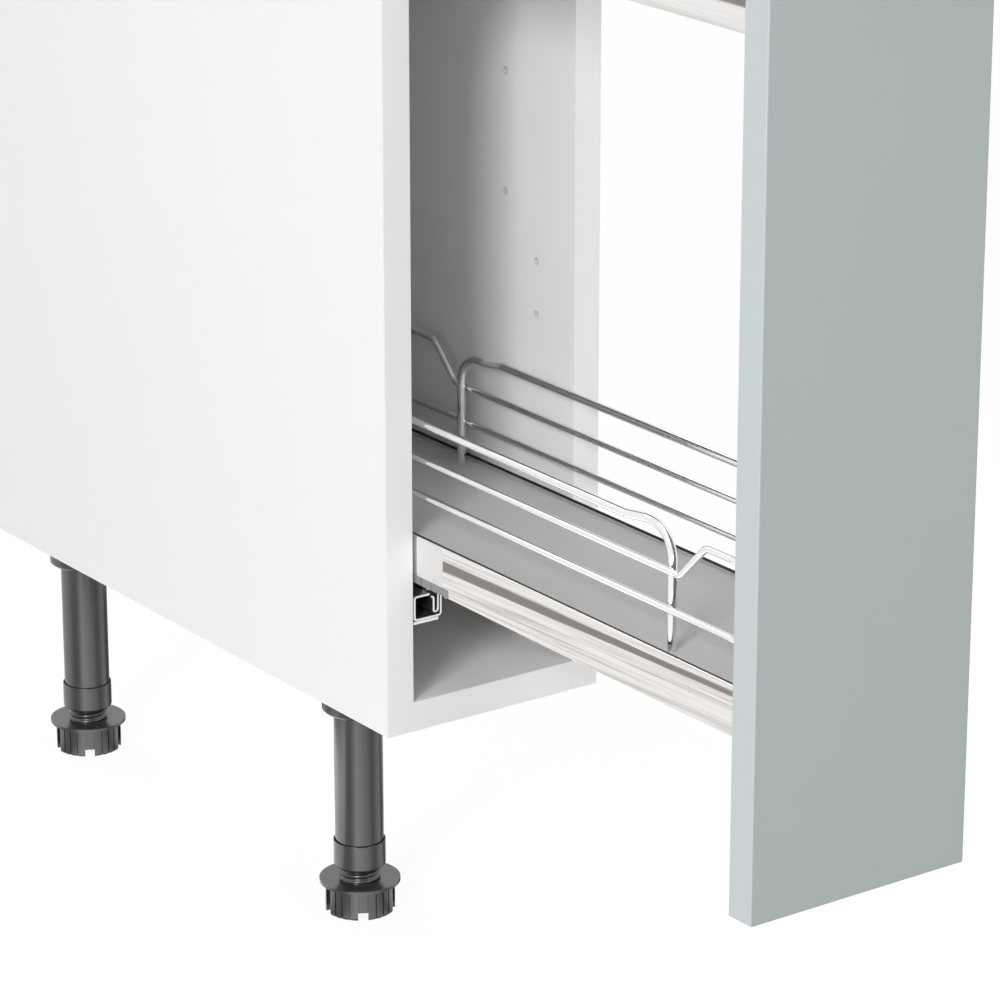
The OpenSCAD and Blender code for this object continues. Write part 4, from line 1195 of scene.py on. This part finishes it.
class CABINET_OT_studio(CabinetPiece, Operator):
    """Builds the pale floor, the soft lights, the white surroundings and the camera"""

    bl_idname = "cabinet.studio"
    bl_label = "Studio"

    # Name, low and high corner, slope, scales, dark and bright tone, the band's two edges
    streaks = (
        ("near", (-0.62, -0.5), (-0.38, 1.6), -0.044, (180.0, 420.0),
         (0.56, 0.52, 0.49, 1), (0.97, 0.955, 0.94, 1), (-0.0556, -0.533), (-0.0324, -0.5363)),
        ("far", (-2.6, 0.4), (-1.2, 3.4), 0.0, (60.0, 140.0),
         (0.74, 0.72, 0.7, 1), (0.96, 0.955, 0.95, 1), (0.0, -1.905), (0.0, -1.99)))
    # Direction in degrees and strength of the painted light and shadow bands that the legs
    # reflect
    tones = ((-180, 0.6), (-160, 0.6), (-136, 2.2), (-85, 1.2), (-62, 0.45), (-24, 1.2),
             (2, 0.1), (100, 1.0), (150, 1.3), (175, 0.6))
    # Name, place and span of each light
    lights = (("key", (-2.8, -1.95, 2.1), 1.05), ("front", (0.6, -3.4, 2.0), 2.2),
              ("top", (-0.3, -0.9, 3.3), 2.6), ("rear", (-0.1, 3.5, 2.7), 2.4))

    def execute(self, context):
        scene, studio = context.scene, context.scene.cabinet_studio
        scene.view_settings.view_transform = "Standard"
        self.surroundings(scene, studio.ambient)
        floor = plate("studio_floor", (-9, -9), (9, 9), -0.2 * MM, floor_paint)
        # Glowing cards that paint reflections, light and shade into the chrome and the legs
        cards = [
            plate(f"reflected_streaks_{name}", low, high, 0.6 * MM, streak_paint, *values)
            for name, low, high, *values in self.streaks]
        half, ahead = 0.36, 0.34
        for part, far, z in (("rear", 0.72, 0.7 * MM), ("front", 0.075, 0.9 * MM)):
            y = sum(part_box(f"foot_{part}"), Vector()).y / 2
            cards.append(plate(f"reflected_tones_{part}", (-half, y - ahead), (half, far), z,
                               painted_leg_reflection, y, self.tones))
        for card in cards:  # seen by glossy rays alone
            for kind in ("camera", "diffuse", "shadow", "transmission", "volume_scatter"):
                setattr(card, f"visible_{kind}", False)
        for name, place, span in self.lights:
            self.light(f"{name}_light", Vector(place), span, getattr(studio, name))
        self.camera(scene, studio)
        return {"FINISHED"}

    def surroundings(self, scene, ambient):
        world = scene.world = bpy.data.worlds.new("studio_surroundings")
        world.use_nodes = True
        tree = world.node_tree
        tree.nodes.clear()
        even, white = (node(tree, "Background", WHITE, glow) for glow in (ambient, 1.0))
        node(tree, "OutputWorld", node(tree, "MixShader", shown_rays(tree), even, white))

    def light(self, name, place, span, watts):
        lamp = bpy.data.lights.new(name, "AREA")
        lamp.shape, lamp.size, lamp.energy = "SQUARE", span, watts
        made = put(lamp, name)
        made.location = place
        aim = Vector((0, 0, 0.45)) - place
        made.rotation_euler = aim.to_track_quat("-Z", "Y").to_euler()
        made.visible_camera = False

    def camera(self, scene, studio):
        lens = bpy.data.cameras.new("photo_camera")
        lens.sensor_width, lens.lens = 36.0, studio.lens
        lens.clip_start, lens.clip_end = 0.05, 60.0
        made = put(lens, "photo_camera")
        made.location = studio.eye
        made.rotation_euler = (math.pi / 2 - studio.tilt, 0.0, -studio.yaw)
        scene.camera = made


class CABINET_PT_pieces(Panel):
    """Lists the cabinet's pieces in the sidebar"""

    bl_label = "Pull-out cabinet"
    bl_idname = "CABINET_PT_pieces"
    bl_space_type = "VIEW_3D"
    bl_region_type = "UI"
    bl_category = "Cabinet"

    def draw(self, context):
        for title in GROUPS:
            group = getattr(context.scene, title)
            box = self.layout.box()
            box.label(text=title.split("_")[1].capitalize())
            for key in group.bl_rna.properties.keys():
                if key not in ("rna_type", "name"):
                    box.prop(group, key)
        for operator in PIECE_OPERATORS:
            self.layout.operator(operator.bl_idname)


GROUPS = {
    "cabinet_finishes": CabinetFinishes,
    "cabinet_sizes": CabinetSizes,
    "cabinet_studio": CabinetStudio,
}
PIECE_OPERATORS = (
    CABINET_OT_studio, CABINET_OT_boards, CABINET_OT_joinery, CABINET_OT_legs,
    CABINET_OT_runners, CABINET_OT_trays, CABINET_OT_galleries, CABINET_OT_door,
    CABINET_OT_handle, CABINET_OT_screws)
CLASSES = (*GROUPS.values(), *PIECE_OPERATORS, CABINET_PT_pieces)


def register():
    for item in CLASSES:
        bpy.utils.register_class(item)
    for key, group in GROUPS.items():
        setattr(bpy.types.Scene, key, PointerProperty(type=group))


def unregister():
    for key in GROUPS:
        delattr(bpy.types.Scene, key)
    for item in reversed(CLASSES):
        bpy.utils.unregister_class(item)


def main():
    register()
    for operator in PIECE_OPERATORS:
        family, action = operator.bl_idname.split(".")
        getattr(getattr(bpy.ops, family), action)()


if __name__ == "__main__":
    main()
